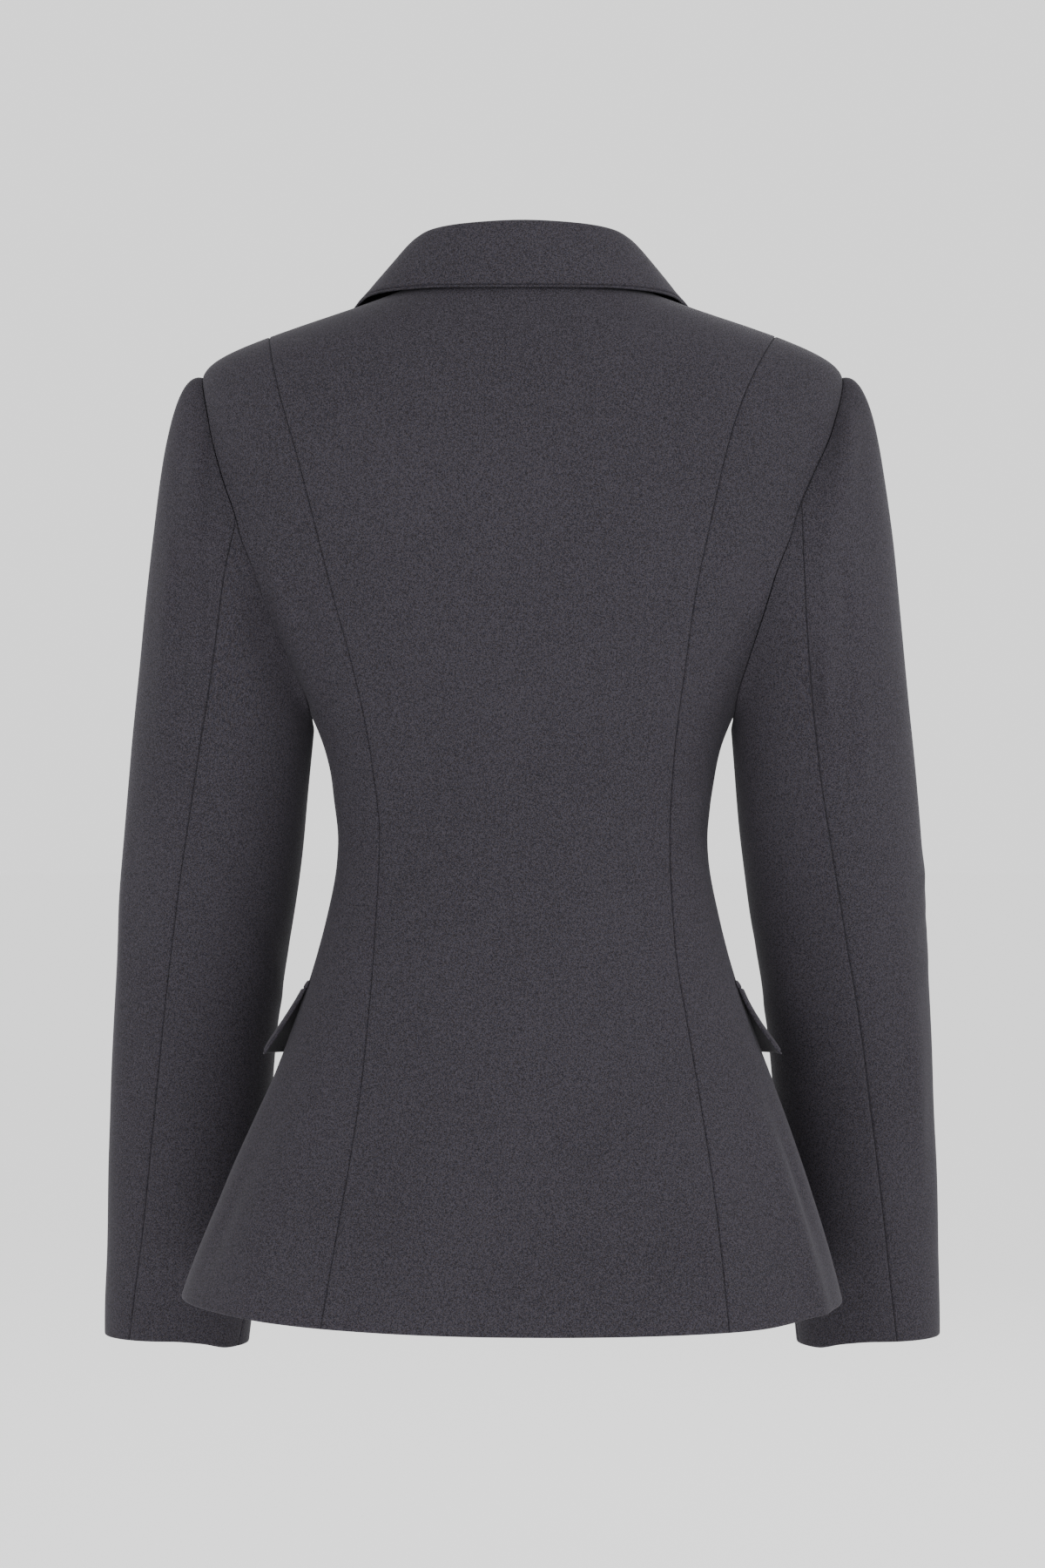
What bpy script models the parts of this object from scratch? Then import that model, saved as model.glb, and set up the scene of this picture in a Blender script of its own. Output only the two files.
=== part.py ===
# A women's fitted blazer, filled out with no wearer. Each cut piece is its own closed wall of cloth.
# Metres, +Z up. The front faces -Y and the wearer's left is +X.
# The origin is the middle of the neck opening, level with the two side neck points.

import math

import bmesh
import bpy
import numpy as np
from mathutils import Matrix, Vector

# Driving sizes
WALL = 0.002                # thickness of the cloth, two layers at a pressed edge
SEAM_GAP = 0.0003           # space left between two pieces at a seam
LAY = 0.0036                # from one piece's outer face to that of a piece lying on it
SHOULDER_SEAM_MEET = -0.030  # height where the princess seams meet the shoulder seam
UNDERARM = -0.273           # height of the bottom of the armhole
HEM = -0.647
HEM_LINE_TOP = -0.570       # the rows start to follow the hem's line here
NECK_HALF_WIDTH = 0.074
GORGE_TOP = -0.045          # where the neck seam meets the roll line
BREAK = -0.285              # where the lapel starts to turn, just above the top button
FRONT_OVERLAP = 0.020       # how far each front passes the middle
LAP_REACH = 0.070           # the right front starts to rise over the left one here
LAP_DOUBLE = (-0.305, -0.170)  # heights between which it also clears the left lapel's foot
SKIRT_LEAN = 0.0066         # the skirt stands out this much more on the left at the hem, as shown
SKIRT_LEAN_TOP = -0.502
SLEEVE_TOP = -0.283         # the first level ring of a sleeve, just under the armhole
CUFF = -0.689
CUFF_LINE_TOP = -0.600      # the rows start to follow the cuff's line here
CAP_LEAVES = 0.0010         # space between the armhole's edge and the sleeve head


class Table:
    """Rows of named columns, read between rows along a smooth curve that doesn't overshoot."""

    def __init__(self, columns, rows):
        self.columns = columns.split()
        self.rows = np.array(sorted(rows), dtype=float)

    def read(self, column, where):
        x = self.rows[:, 0]
        y = self.rows[:, self.columns.index(column)]
        where = np.clip(where, x[0], x[-1])
        rise = np.diff(y) / np.diff(x)
        slope = np.zeros(len(x))
        slope[0] = rise[0]
        slope[-1] = rise[-1]
        for i in range(1, len(x) - 1):
            if rise[i - 1] * rise[i] > 0:
                slope[i] = 2 * rise[i - 1] * rise[i] / (rise[i - 1] + rise[i])
        i = np.clip(np.searchsorted(x, where) - 1, 0, len(x) - 2)
        step = x[i + 1] - x[i]
        t = (where - x[i]) / step
        start = y[i] * (1 + 2 * t) * (1 - t) ** 2 + slope[i] * step * t * (1 - t) ** 2
        end = y[i + 1] * t * t * (3 - 2 * t) + slope[i + 1] * step * t * t * (t - 1)
        return start + end


# Level sections of the body, from the neck to the hem. The depths run from the middle plane to the
# back and to the front, middle is where the section is widest, and round is its superellipse power.
BODY = Table("height half_width back_depth front_depth middle back_round front_round", [
    (0.006, 0.0560, 0.0660, 0.0100, -0.003, 2.10, 2.00),
    (0.000, 0.0740, 0.0680, 0.0150, -0.003, 2.10, 2.00),
    (-0.010, 0.1015, 0.0730, 0.0300, -0.003, 2.00, 2.00),
    (-0.020, 0.1334, 0.0765, 0.0400, -0.003, 1.90, 2.00),
    (-0.030, 0.1620, 0.0796, 0.0473, -0.003, 1.90, 2.00),
    (-0.036, 0.1787, 0.0813, 0.0520, -0.003, 1.90, 2.00),
    (-0.042, 0.1922, 0.0830, 0.0560, -0.003, 1.92, 2.00),
    (-0.048, 0.2015, 0.0842, 0.0600, -0.003, 1.98, 2.00),
    (-0.0554, 0.2065, 0.0855, 0.0650, -0.003, 2.10, 2.00),
    (-0.066, 0.2066, 0.0872, 0.0715, -0.003, 2.30, 2.00),
    (-0.077, 0.2068, 0.0890, 0.0780, -0.003, 2.38, 2.00),
    (-0.100, 0.2097, 0.0920, 0.0900, -0.003, 2.32, 2.05),
    (-0.126, 0.2108, 0.0945, 0.1025, -0.003, 2.30, 2.10),
    (-0.156, 0.2106, 0.0950, 0.1135, -0.003, 2.30, 2.20),
    (-0.181, 0.2020, 0.0940, 0.1215, -0.003, 2.30, 2.30),
    (-0.209, 0.1820, 0.0905, 0.1280, -0.003, 2.30, 2.40),
    (-0.240, 0.1570, 0.0850, 0.1300, -0.002, 2.30, 2.45),
    (-0.273, 0.1356, 0.0780, 0.1262, -0.001, 2.30, 2.40),
    (-0.300, 0.1254, 0.0730, 0.1190, 0.000, 2.25, 2.35),
    (-0.334, 0.1204, 0.0695, 0.1100, 0.000, 2.20, 2.30),
    (-0.351, 0.1187, 0.0690, 0.1075, 0.000, 2.20, 2.30),
    (-0.367, 0.1196, 0.0700, 0.1070, 0.000, 2.20, 2.30),
    (-0.401, 0.1257, 0.0750, 0.1100, 0.002, 2.20, 2.30),
    (-0.435, 0.1344, 0.0830, 0.1140, 0.006, 2.20, 2.25),
    (-0.470, 0.1465, 0.0930, 0.1175, 0.012, 2.15, 2.20),
    (-0.502, 0.1583, 0.1030, 0.1200, 0.018, 2.15, 2.20),
    (-0.535, 0.1715, 0.1140, 0.1225, 0.023, 2.15, 2.20),
    (-0.570, 0.1850, 0.1262, 0.1250, 0.027, 2.15, 2.20),
    (-0.601, 0.1955, 0.1370, 0.1275, 0.030, 2.15, 2.20),
    (-0.647, 0.2088, 0.1520, 0.1315, 0.034, 2.15, 2.20),
    (-0.660, 0.2120, 0.1560, 0.1325, 0.035, 2.15, 2.20),
])

# The hem isn't level: by turn from centre back, how much higher than HEM it runs.
HEM_LINE = Table("turn rise", [
    (-180, 0.0000),
    (-130, 0.0000),
    (-90, 0.0038),
    (-65, 0.0024),
    (-42, -0.0020),
    (-30, -0.0019),
    (0, -0.0014),
    (35, 0.0012),
    (55, 0.0046),
    (90, 0.0069),
    (130, 0.0015),
    (180, 0.0000),
])

# How far the princess seams run from the middle: the back ones as shown on each side.
PRINCESS = Table("height back_left back_right front", [
    (-0.030, 0.1620, 0.1620, 0.1620),
    (-0.050, 0.1575, 0.1500, 0.1500),
    (-0.073, 0.1520, 0.1390, 0.1380),
    (-0.112, 0.1406, 0.1262, 0.1220),
    (-0.160, 0.1279, 0.1155, 0.1100),
    (-0.201, 0.1177, 0.1073, 0.1020),
    (-0.241, 0.1070, 0.1020, 0.0970),
    (-0.303, 0.0950, 0.0955, 0.0860),
    (-0.350, 0.0905, 0.0932, 0.0820),
    (-0.412, 0.0930, 0.0955, 0.0860),
    (-0.477, 0.0974, 0.1045, 0.0940),
    (-0.550, 0.1050, 0.1165, 0.1020),
    (-0.600, 0.1120, 0.1235, 0.1070),
    (-0.647, 0.1183, 0.1296, 0.1120),
])

# The armhole, from the shoulder tip to the underarm. The turns say how far round the body it lies,
# at the back as shown on each side.
ARMHOLE = Table("share height back_left back_right front", [
    (0.00, -0.0554, 90.0, 90.0, 90.0),
    (0.03, -0.0568, 85.6, 85.9, 97.3),
    (0.06, -0.0610, 82.8, 82.9, 102.8),
    (0.11, -0.0695, 78.9, 79.0, 109.0),
    (0.15, -0.0770, 75.9, 75.6, 112.9),
    (0.21, -0.0880, 71.8, 70.6, 117.2),
    (0.26, -0.1000, 68.2, 66.0, 120.6),
    (0.31, -0.1117, 65.1, 61.9, 123.4),
    (0.36, -0.1260, 61.9, 57.9, 126.4),
    (0.45, -0.1560, 56.0, 51.4, 131.5),
    (0.55, -0.1810, 54.9, 50.2, 132.0),
    (0.65, -0.2090, 59.3, 54.5, 127.5),
    (0.78, -0.2400, 67.6, 63.6, 117.0),
    (0.89, -0.2620, 75.5, 73.2, 105.0),
    (0.96, -0.2710, 83.6, 82.8, 96.5),
    (1.00, -0.2730, 90.0, 90.0, 90.0),
])

# The edge of a front, from the side neck point down the neck seam, the roll line and the front edge.
FRONT_EDGE = Table("height across", [
    (0.000, NECK_HALF_WIDTH),
    (-0.010, 0.0715),
    (-0.025, 0.0675),
    (GORGE_TOP, 0.0615),
    (-0.105, 0.0416),
    (-0.165, 0.0217),
    (-0.225, 0.0019),
    (BREAK, -0.0165),
    (-0.298, -0.0190),
    (-0.310, -FRONT_OVERLAP),
    (HEM, -FRONT_OVERLAP),
])

# Soft ridges of the skirt: side 1 is the wearer's left and -1 the right, turns run from centre back.
SKIRT_FOLDS = Table("side top bottom top_turn bottom_turn spread rise", [
    (-1, -0.480, HEM, 63.0, 66.0, 4.5, 0.0030),
    (1, -0.500, HEM, 58.0, 49.0, 9.0, 0.0022),
])

# Level rings of the left sleeve. A turn round the sleeve is 0 outside and 90 at the back.
SLEEVE = Table("height centre_x centre_y half_width half_depth", [
    (SLEEVE_TOP, 0.1931, -0.012, 0.0580, 0.0630),
    (-0.317, 0.1969, -0.021, 0.0585, 0.0622),
    (-0.351, 0.2009, -0.032, 0.0589, 0.0610),
    (-0.385, 0.2054, -0.044, 0.0583, 0.0597),
    (-0.420, 0.2098, -0.056, 0.0569, 0.0580),
    (-0.455, 0.2143, -0.066, 0.0551, 0.0562),
    (-0.491, 0.2180, -0.075, 0.0539, 0.0545),
    (-0.526, 0.2209, -0.083, 0.0534, 0.0528),
    (-0.562, 0.2236, -0.090, 0.0527, 0.0510),
    (-0.597, 0.2263, -0.096, 0.0516, 0.0490),
    (-0.633, 0.2290, -0.101, 0.0504, 0.0470),
    (-0.669, 0.2317, -0.106, 0.0493, 0.0450),
    (CUFF, 0.2330, -0.108, 0.0484, 0.0440),
])

# The sleeve seams, by the way down the sleeve (1 at its first level ring and 2 at the cuff), as
# turns round it. The right sleeve is turned on its arm, as shown.
SLEEVE_SEAMS = Table("along back_left back_right front_left front_right", [
    (0.00, 78.3, 73.7, 235.0, 235.0),
    (0.04, 83.0, 77.6, 235.0, 236.0),
    (0.12, 86.9, 86.1, 235.0, 238.0),
    (0.20, 89.2, 91.6, 235.0, 240.0),
    (0.35, 90.6, 96.6, 235.0, 243.0),
    (0.50, 90.0, 99.0, 235.0, 246.0),
    (0.65, 88.0, 99.7, 235.0, 248.5),
    (0.80, 85.2, 99.6, 235.0, 250.0),
    (1.00, 81.9, 99.0, 235.0, 251.0),
    (1.08, 79.8, 98.1, 229.3, 245.5),
    (1.16, 77.7, 95.9, 222.6, 239.0),
    (1.25, 75.7, 93.7, 215.0, 232.0),
    (1.35, 73.8, 91.1, 208.0, 225.0),
    (1.50, 71.5, 86.6, 197.0, 213.0),
    (1.60, 69.2, 83.9, 188.0, 203.5),
    (1.70, 66.5, 80.6, 180.0, 195.0),
    (1.80, 63.6, 77.6, 171.5, 186.5),
    (1.90, 59.0, 75.2, 162.5, 178.0),
    (2.00, 53.9, 71.8, 153.0, 170.0),
])

# The cuff's line: by turn round the sleeve, how much higher than CUFF it runs.
CUFF_LINE = Table("round rise", [
    (0, 0.0020),
    (90, 0.0025),
    (115, 0.0004),
    (140, -0.0038),
    (180, -0.0038),
    (225, -0.0015),
    (270, 0.0004),
    (315, 0.0015),
    (360, 0.0020),
])

# How the sleeve head leaves the armhole: its direction there and how far it keeps it.
SLEEVE_HEAD = Table("round out back up reach settle", [
    (0, 1.00, 0.00, 0.36, 0.0265, 0.62),
    (45, 0.95, 0.25, 0.05, 0.0245, 0.55),
    (90, 0.85, 0.25, -0.45, 0.024, 0.45),
    (135, 0.70, 0.15, -0.80, 0.010, 0.40),
    (180, 0.45, 0.00, -1.00, 0.003, 0.30),
    (225, 0.70, -0.20, -0.80, 0.010, 0.40),
    (270, 0.85, -0.35, -0.40, 0.024, 0.45),
    (315, 0.95, -0.25, 0.05, 0.0245, 0.55),
    (360, 1.00, 0.00, 0.36, 0.0265, 0.62),
])

# Soft ridges down the sleeves, by height and by turn round the sleeve.
SLEEVE_FOLDS = Table("side top bottom top_round bottom_round spread rise", [
    (1, -0.110, -0.330, 50.0, 58.0, 13.0, 0.0022),
    (-1, -0.075, -0.230, 60.0, 72.0, 15.0, 0.0022),
])

# The collar, from centre back to its front end. The neck and edge columns are places on the body,
# given by height and turn. The fold columns are the top of the roll, in space.
COLLAR = Table("station neck neck_turn fold_x fold_y fold_z edge edge_turn lift_left lift_right gorge", [
    (-1, 0.000, -25.0, -0.0315, 0.0595, 0.0345, -0.0093, -18.0, 0.0034, 0.0034, 0.0),
    (0, 0.000, 0.0, 0.0000, 0.0655, 0.0352, -0.0095, 0.0, 0.0032, 0.0032, 0.0),
    (1, 0.000, 25.0, 0.0315, 0.0595, 0.0345, -0.0093, 18.0, 0.0034, 0.0034, 0.0),
    (2, 0.000, 50.0, 0.0578, 0.0430, 0.0326, -0.0088, 40.0, 0.0035, 0.0033, 0.0),
    (3, 0.000, 72.0, 0.0692, 0.0200, 0.0272, -0.0090, 66.0, 0.0044, 0.0033, 0.0),
    (4, -0.001, 97.0, 0.0712, -0.0020, 0.0215, -0.0100, 90.0, 0.0050, 0.0034, 0.0),
    (5, -0.006, 128.7, 0.0700, -0.0200, 0.0125, -0.0190, 121.0, 0.0045, 0.0035, 0.0),
    (6, -0.015, 144.4, 0.0675, -0.0340, 0.0000, -0.0300, 134.0, 0.0044, 0.0038, 0.0),
    (7, -0.028, 155.3, 0.0635, -0.0475, -0.0175, -0.0440, 142.0, 0.0038, 0.0038, 0.0),
    (8, GORGE_TOP, 161.8, 0.0605, -0.0600, -0.0400, -0.0620, 144.2, 0.0038, 0.0038, 1.0),
])
COLLAR_END = 8
COLLAR_ROLL = 0.0065        # how far the roll stands out before it falls
COLLAR_BULGE = 0.0030       # roundness of the fall
STAND_SHARE = 0.4           # share of the strip that is stand
NOTCH = (0.100, -0.080)     # across and height of the notch's inner corner
LAPEL_TIP = (0.122, -0.0985)
LAPEL_START = 0.018         # share of the roll line left bare at the break
LAPEL_END = 0.994           # share where the lapel stops, just short of the gorge seam
LAPEL_BELLY = 0.006         # outward curve of the lapel's edge
LAPEL_ROLL = 0.0030         # extra height of the lapel along its roll line
LAPEL_FOOT = 0.0027         # at the break the lapel lies this close to the front
LAPEL_TURN = 0.0032         # radius in which the lapel turns round the front's edge
LAPEL_TURN_END = 0.0010     # the turn ends this far below the front's outer face

FLAP_TOP = -0.4475
FLAP_DROP = 0.0445          # height of a flap, seen from the side
FLAP_TURNS = (80.0, 134.0)  # from its back end to its front end
FLAP_SLOPE = -0.006         # the front end is this much lower
FLAP_LAY = 0.0029           # a flap's upper edge is sewn down, close to the cloth
FLAP_JUT = 0.0108           # how far its face stands off the skirt lower down
FLAP_CURL = 0.0016          # its lower edge turns back in by this much
FLAP_SWEEP = {1: 1.2, -1: 1.7}  # left and right: how late the flap on each side leaves the skirt
FLAP_LENGTH = 0.130
FLAP_CORNER = 0.012         # radius of its lower corners
JET_LAY = 0.0020            # the jet is sewn down flat on the cloth
JET_THICKNESS = 0.0012      # a pressed strip, thinner than the other pieces
JET_HEIGHT = 0.005
JET_SPACE = 0.0003          # between a jet and the flap below it

BUTTON_HEIGHTS = (-0.315, -0.405)
BUTTON_RADIUS = 0.010
BUTTON_THICKNESS = 0.0036
BUTTON_SIDES = 24
BUTTON_SEAT = 0.0008        # thread shank between button and cloth

# Grid steps. The princess seams have a point at each of these heights.
SEAM_HEIGHTS = (SHOULDER_SEAM_MEET, -0.034, -0.040, -0.048, -0.066, -0.09, -0.12, -0.15, -0.18,
                -0.21, -0.24, -0.27, -0.30, -0.325, -0.351, -0.377, -0.405, -0.435, -0.465, -0.50,
                -0.535, -0.57, -0.61, HEM)
LAST_ROW = len(SEAM_HEIGHTS) - 1
ARMHOLE_ROWS = 12
ARMHOLE_CROWD = 1.25        # crowds the armhole's rows towards the shoulder tip
SIDE_LEVELS_OFF = 4         # rows below the underarm over which side and princess rows become level
FRONT_COLUMNS = 6
SIDE_COLUMNS = 5
BACK_COLUMNS = 12
LEVEL_ROWS = 8              # rows over which the front edge's rows become level
CAP_ROWS = 9
SLEEVE_ROWS = 14
UPPER_COLUMNS = 19
UNDER_COLUMNS = 8
LAPEL_ROWS = 14
LAPEL_COLUMNS = (-1.0, -0.6, -0.3, 0.0, 0.2, 0.4, 0.6, 0.8, 1.0)
COLLAR_STATIONS = 29
COLLAR_STRIPS = (0, 0.14, 0.27, 0.35, 0.4, 0.45, 0.53, 0.64, 0.76, 0.88, 1.0)
FLAP_COLUMNS = 10
FLAP_ROWS = 5

LEFT = 1
RIGHT = -1
SIDE_NAMES = {LEFT: "left", RIGHT: "right"}


def mix(start, end, share):
    return start + (end - start) * share


def ease(share):
    share = np.clip(share, 0.0, 1.0)
    return share * share * (3 - 2 * share)


def power(value, exponent):
    return np.sign(value) * np.abs(value) ** exponent


def unit(vectors):
    return vectors / np.maximum(np.linalg.norm(vectors, axis=-1, keepdims=True), 1e-12)


def points(x, y, z):
    return np.stack(np.broadcast_arrays(x, y, z), axis=-1).astype(float)


# The body's surface
def skirt_fold_rise(height, turn):
    total = np.zeros(np.broadcast(height, turn).shape)
    for side, top, bottom, top_turn, bottom_turn, spread, rise in SKIRT_FOLDS.rows:
        down = (top - height) / (top - bottom)
        ridge = mix(top_turn, bottom_turn, down)
        total = total + rise * ease(down * 1.4) * np.exp(-((turn * side - ridge) / spread) ** 2)
    return total


def body(height, turn):
    """The outer cloth. turn is 0 at centre back, 90 at the side and 180 at centre front. It is
    negative on the wearer's right, and past 180 beyond the middle of the front."""
    angle = np.radians(turn)
    sine = np.sin(angle)
    cosine = np.cos(angle)
    behind = cosine >= 0
    lean = SKIRT_LEAN * np.clip((SKIRT_LEAN_TOP - height) / (SKIRT_LEAN_TOP - HEM), 0, None)
    half_width = BODY.read("half_width", height) + lean * np.sign(sine)
    middle = BODY.read("middle", height)
    back = BODY.read("back_depth", height) - middle
    front = BODY.read("front_depth", height) + middle
    depth = np.where(behind, back, front)
    roundness = np.where(behind, BODY.read("back_round", height), BODY.read("front_round", height))
    x = half_width * power(sine, 2 / roundness)
    y = depth * power(cosine, 2 / roundness)
    outward = unit(points(x / half_width ** 2, y / depth ** 2, np.zeros_like(x)))
    level = height + HEM_LINE.read("rise", turn) * ease((HEM_LINE_TOP - height) / (HEM_LINE_TOP - HEM))
    return points(x, y + middle, level) + outward * skirt_fold_rise(height, turn)[..., None]


def body_outward(height, turn):
    across = body(height, turn + 0.4) - body(height, turn - 0.4)
    down = body(height - 0.001, turn) - body(height + 0.001, turn)
    return unit(np.cross(across, down))


def turn_at(height, across, in_front):
    """The turn, on the wearer's left, of a place given by its distance from the middle."""
    roundness = BODY.read("front_round" if in_front else "back_round", height)
    share = np.clip(across / BODY.read("half_width", height), -1, 1)
    turn = np.degrees(np.arcsin(power(share, roundness / 2)))
    return 180 - turn if in_front else turn


def on_front(across, height, out):
    turn = turn_at(height, across, True)
    return body(height, turn) + body_outward(height, turn) * np.asarray(out)[..., None]


# Seams, as height and turn at each row of the grids
def princess(row, side, in_front):
    height = np.interp(row, range(LAST_ROW + 1), SEAM_HEIGHTS)
    column = "front" if in_front else "back_left" if side == LEFT else "back_right"
    return height, turn_at(height, PRINCESS.read(column, height), in_front)


def side_edge(row, side, in_front):
    """The armhole down to the underarm, and the side seam below it."""
    share = np.clip(row / ARMHOLE_ROWS, 0, 1) ** ARMHOLE_CROWD
    arm_turn = ARMHOLE.read("front" if in_front else "back_" + SIDE_NAMES[side], share)
    height_below = np.interp(row, range(LAST_ROW + 1), SEAM_HEIGHTS)
    offset = UNDERARM - SEAM_HEIGHTS[ARMHOLE_ROWS]
    level = height_below + offset * np.clip(1 - (row - ARMHOLE_ROWS) / SIDE_LEVELS_OFF, 0, 1)
    in_armhole = row <= ARMHOLE_ROWS
    return (np.where(in_armhole, ARMHOLE.read("height", share), level),
            np.where(in_armhole, arm_turn, 90.0))


def centre_back_turn(height, share):
    """The turn of a place on the centre back, whose share is -1 at its right edge and 1 at its left.
    Above the princess seams that edge is the shoulder seam."""
    seam = np.where(share > 0, PRINCESS.read("back_left", height), PRINCESS.read("back_right", height))
    seam = np.where(height >= SHOULDER_SEAM_MEET, BODY.read("half_width", height), seam)
    crowded = mix(share, np.sin(share * math.pi / 2), 0.6)
    return turn_at(height, seam * crowded, False)


def front_edge(row):
    """The neck seam, roll line and front edge. Its rows level off with the princess seam's."""
    height = np.interp(row, range(LAST_ROW + 1), SEAM_HEIGHTS)
    height = height - SHOULDER_SEAM_MEET * np.clip(1 - row / LEVEL_ROWS, 0, 1)
    turn = turn_at(height, FRONT_EDGE.read("across", height), True)
    return height, np.where(row <= 0, 90.0, turn)


# Making walls
def wall(name, outer, outward, colour, closed_seams=(), thickness=WALL):
    """A closed wall on a grid of outer points. closed_seams names the edges that keep half the seam
    gap: first_row, last_row, first_column and last_column."""
    outer = outer.copy()
    inward = {
        "first_row": (np.s_[0, :], np.s_[1, :]),
        "last_row": (np.s_[-1, :], np.s_[-2, :]),
        "first_column": (np.s_[:, 0], np.s_[:, 1]),
        "last_column": (np.s_[:, -1], np.s_[:, -2]),
    }
    moved = outer.copy()
    for seam in closed_seams:
        edge, neighbour = inward[seam]
        moved[edge] += unit(outer[neighbour] - outer[edge]) * SEAM_GAP / 2
    inner = moved - outward * thickness
    rows, columns = moved.shape[0] - 1, moved.shape[1] - 1

    mesh = bmesh.new()
    row_of = mesh.verts.layers.int.new("row")
    column_of = mesh.verts.layers.int.new("column")
    bmesh.ops.create_grid(mesh, x_segments=columns, y_segments=rows, size=1.0)
    for vertex in mesh.verts:
        vertex[row_of] = round((vertex.co.y + 1) / 2 * rows)
        vertex[column_of] = round((vertex.co.x + 1) / 2 * columns)
        vertex.co = inner[vertex[row_of], vertex[column_of]]
    raised = bmesh.ops.extrude_face_region(mesh, geom=mesh.faces[:])["geom"]
    for vertex in raised:
        if isinstance(vertex, bmesh.types.BMVert):
            vertex.co = moved[vertex[row_of], vertex[column_of]]
    return finish(name, mesh, colour)


def finish(name, mesh, colour):
    bmesh.ops.recalc_face_normals(mesh, faces=mesh.faces)
    data = bpy.data.meshes.new(name)
    mesh.to_mesh(data)
    mesh.free()
    data.shade_smooth()
    data.set_sharp_from_angle(angle=math.radians(40))
    data.materials.append(material(name, *colour))
    piece = bpy.data.objects.new(name, data)
    bpy.context.scene.collection.objects.link(piece)
    return piece


def material(name, base, roughness):
    finish_of = bpy.data.materials.new(name)
    finish_of.use_nodes = True
    shader = finish_of.node_tree.nodes["Principled BSDF"]
    shader.inputs["Base Color"].default_value = (*base, 1.0)
    shader.inputs["Roughness"].default_value = roughness
    shader.inputs["Metallic"].default_value = 0.0
    return finish_of


CREPE = ((0.028, 0.0255, 0.0315), 0.86)
HORN = ((0.018, 0.016, 0.017), 0.35)


def body_panel(name, height, turn, seams, out=0.0):
    outward = body_outward(height, turn)
    outer = body(height, turn) + outward * np.asarray(out)[..., None]
    return wall(name, outer, outward, CREPE, seams)


def grid(rows, columns):
    """Row and column numbers of a grid, as two arrays."""
    return np.meshgrid(np.asarray(rows, dtype=float), np.asarray(columns, dtype=float), indexing="ij")


# The body's pieces
def make_centre_back():
    shoulder = [SHOULDER_SEAM_MEET * k / FRONT_COLUMNS for k in range(FRONT_COLUMNS)]
    heights = shoulder + list(SEAM_HEIGHTS)
    height, share = grid(heights, np.linspace(-1, 1, BACK_COLUMNS + 1))
    body_panel("centre_back", height, centre_back_turn(height, share), ("first_column", "last_column"))


def make_side_back(side):
    row, share = grid(range(LAST_ROW + 1), np.linspace(0, 1, SIDE_COLUMNS + 1))
    inner_height, inner_turn = princess(row, side, False)
    outer_height, outer_turn = side_edge(row, side, False)
    body_panel("side_back_" + SIDE_NAMES[side], mix(inner_height, outer_height, share),
               mix(inner_turn, outer_turn, share) * side,
               ("first_row", "first_column", "last_column"))


def make_side_front(side):
    row, share = grid(range(LAST_ROW + 1), np.linspace(0, 1, SIDE_COLUMNS + 1))
    inner_height, inner_turn = princess(row, side, True)
    outer_height, outer_turn = side_edge(row, side, True)
    body_panel("side_front_" + SIDE_NAMES[side], mix(inner_height, outer_height, share),
               mix(inner_turn, outer_turn, share) * side,
               ("first_row", "first_column", "last_column"))


def lap_lift(across, height, side):
    """The right front lies over the left one where they pass the middle, and over the foot of the
    left lapel too where that lapel starts to turn."""
    if side == LEFT:
        return np.zeros_like(across)
    over_lapel = ease((height - LAP_DOUBLE[0]) / 0.020) * ease((LAP_DOUBLE[1] - height) / 0.040)
    return LAY * ease((LAP_REACH - across) / 0.040) * (1 + 1.3 * over_lapel)


def make_front(side):
    row, share = grid(range(LAST_ROW + 1), np.linspace(0, 1, FRONT_COLUMNS + 1))
    outer_height, outer_turn = princess(row, side, True)
    inner_height, inner_turn = front_edge(row)
    height = mix(outer_height, inner_height, share)
    turn = mix(outer_turn, inner_turn, share)
    across = body(height, turn)[..., 0]
    body_panel("front_" + SIDE_NAMES[side], height, turn * side, ("first_row", "first_column"),
               lap_lift(across, height, side))


# Lapels, laid on the fronts from the roll line outwards and turned round the fronts' edges
def lapel_place(roll, out):
    """Across and height of a lapel's point: roll is 0 at the break and 1 at the gorge, out is 0 at
    the roll line and 1 at the free edge."""
    inner_height = mix(BREAK, GORGE_TOP, roll)
    inner_across = FRONT_EDGE.read("across", inner_height)
    start = (-0.012, BREAK)
    edge_across = mix(start[0], LAPEL_TIP[0], roll) + LAPEL_BELLY * np.sin(math.pi * roll)
    edge_height = mix(start[1], LAPEL_TIP[1], roll) - LAPEL_BELLY * 0.3 * np.sin(math.pi * roll)
    return mix(inner_across, edge_across, out), mix(inner_height, edge_height, out)


def lapel_points(roll, out, side):
    """A lapel's outer face and the way it faces. Below 0, out goes on round the front's edge, to -1
    where the turn ends."""
    laid = np.maximum(out, 0)
    across, height = lapel_place(roll, laid)
    turn = turn_at(height, across, True)
    above = mix(LAPEL_FOOT, LAY, ease(roll * 8)) + LAPEL_ROLL * (1 - laid) ** 2 * ease(roll * 2.2)
    outward = body_outward(height, turn * side)
    place = body(height, turn * side) + outward * (above + lap_lift(across, height, side))[..., None]

    next_across, next_height = lapel_place(roll + 0.01, laid)
    along = body(next_height, turn_at(next_height, next_across, True) * side) - body(height, turn * side)
    inward = unit(np.cross(outward, along)) * side
    angle = np.clip(-out / 0.6, 0, 1)[..., None] * math.pi / 2
    straight = np.clip((-out - 0.6) / 0.4, 0, 1) * (above + LAPEL_TURN_END - LAPEL_TURN)
    place = place + inward * LAPEL_TURN * np.sin(angle)
    place = place - outward * (LAPEL_TURN * (1 - np.cos(angle)) + straight[..., None])
    return place, outward * np.cos(angle) + inward * np.sin(angle)


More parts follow.
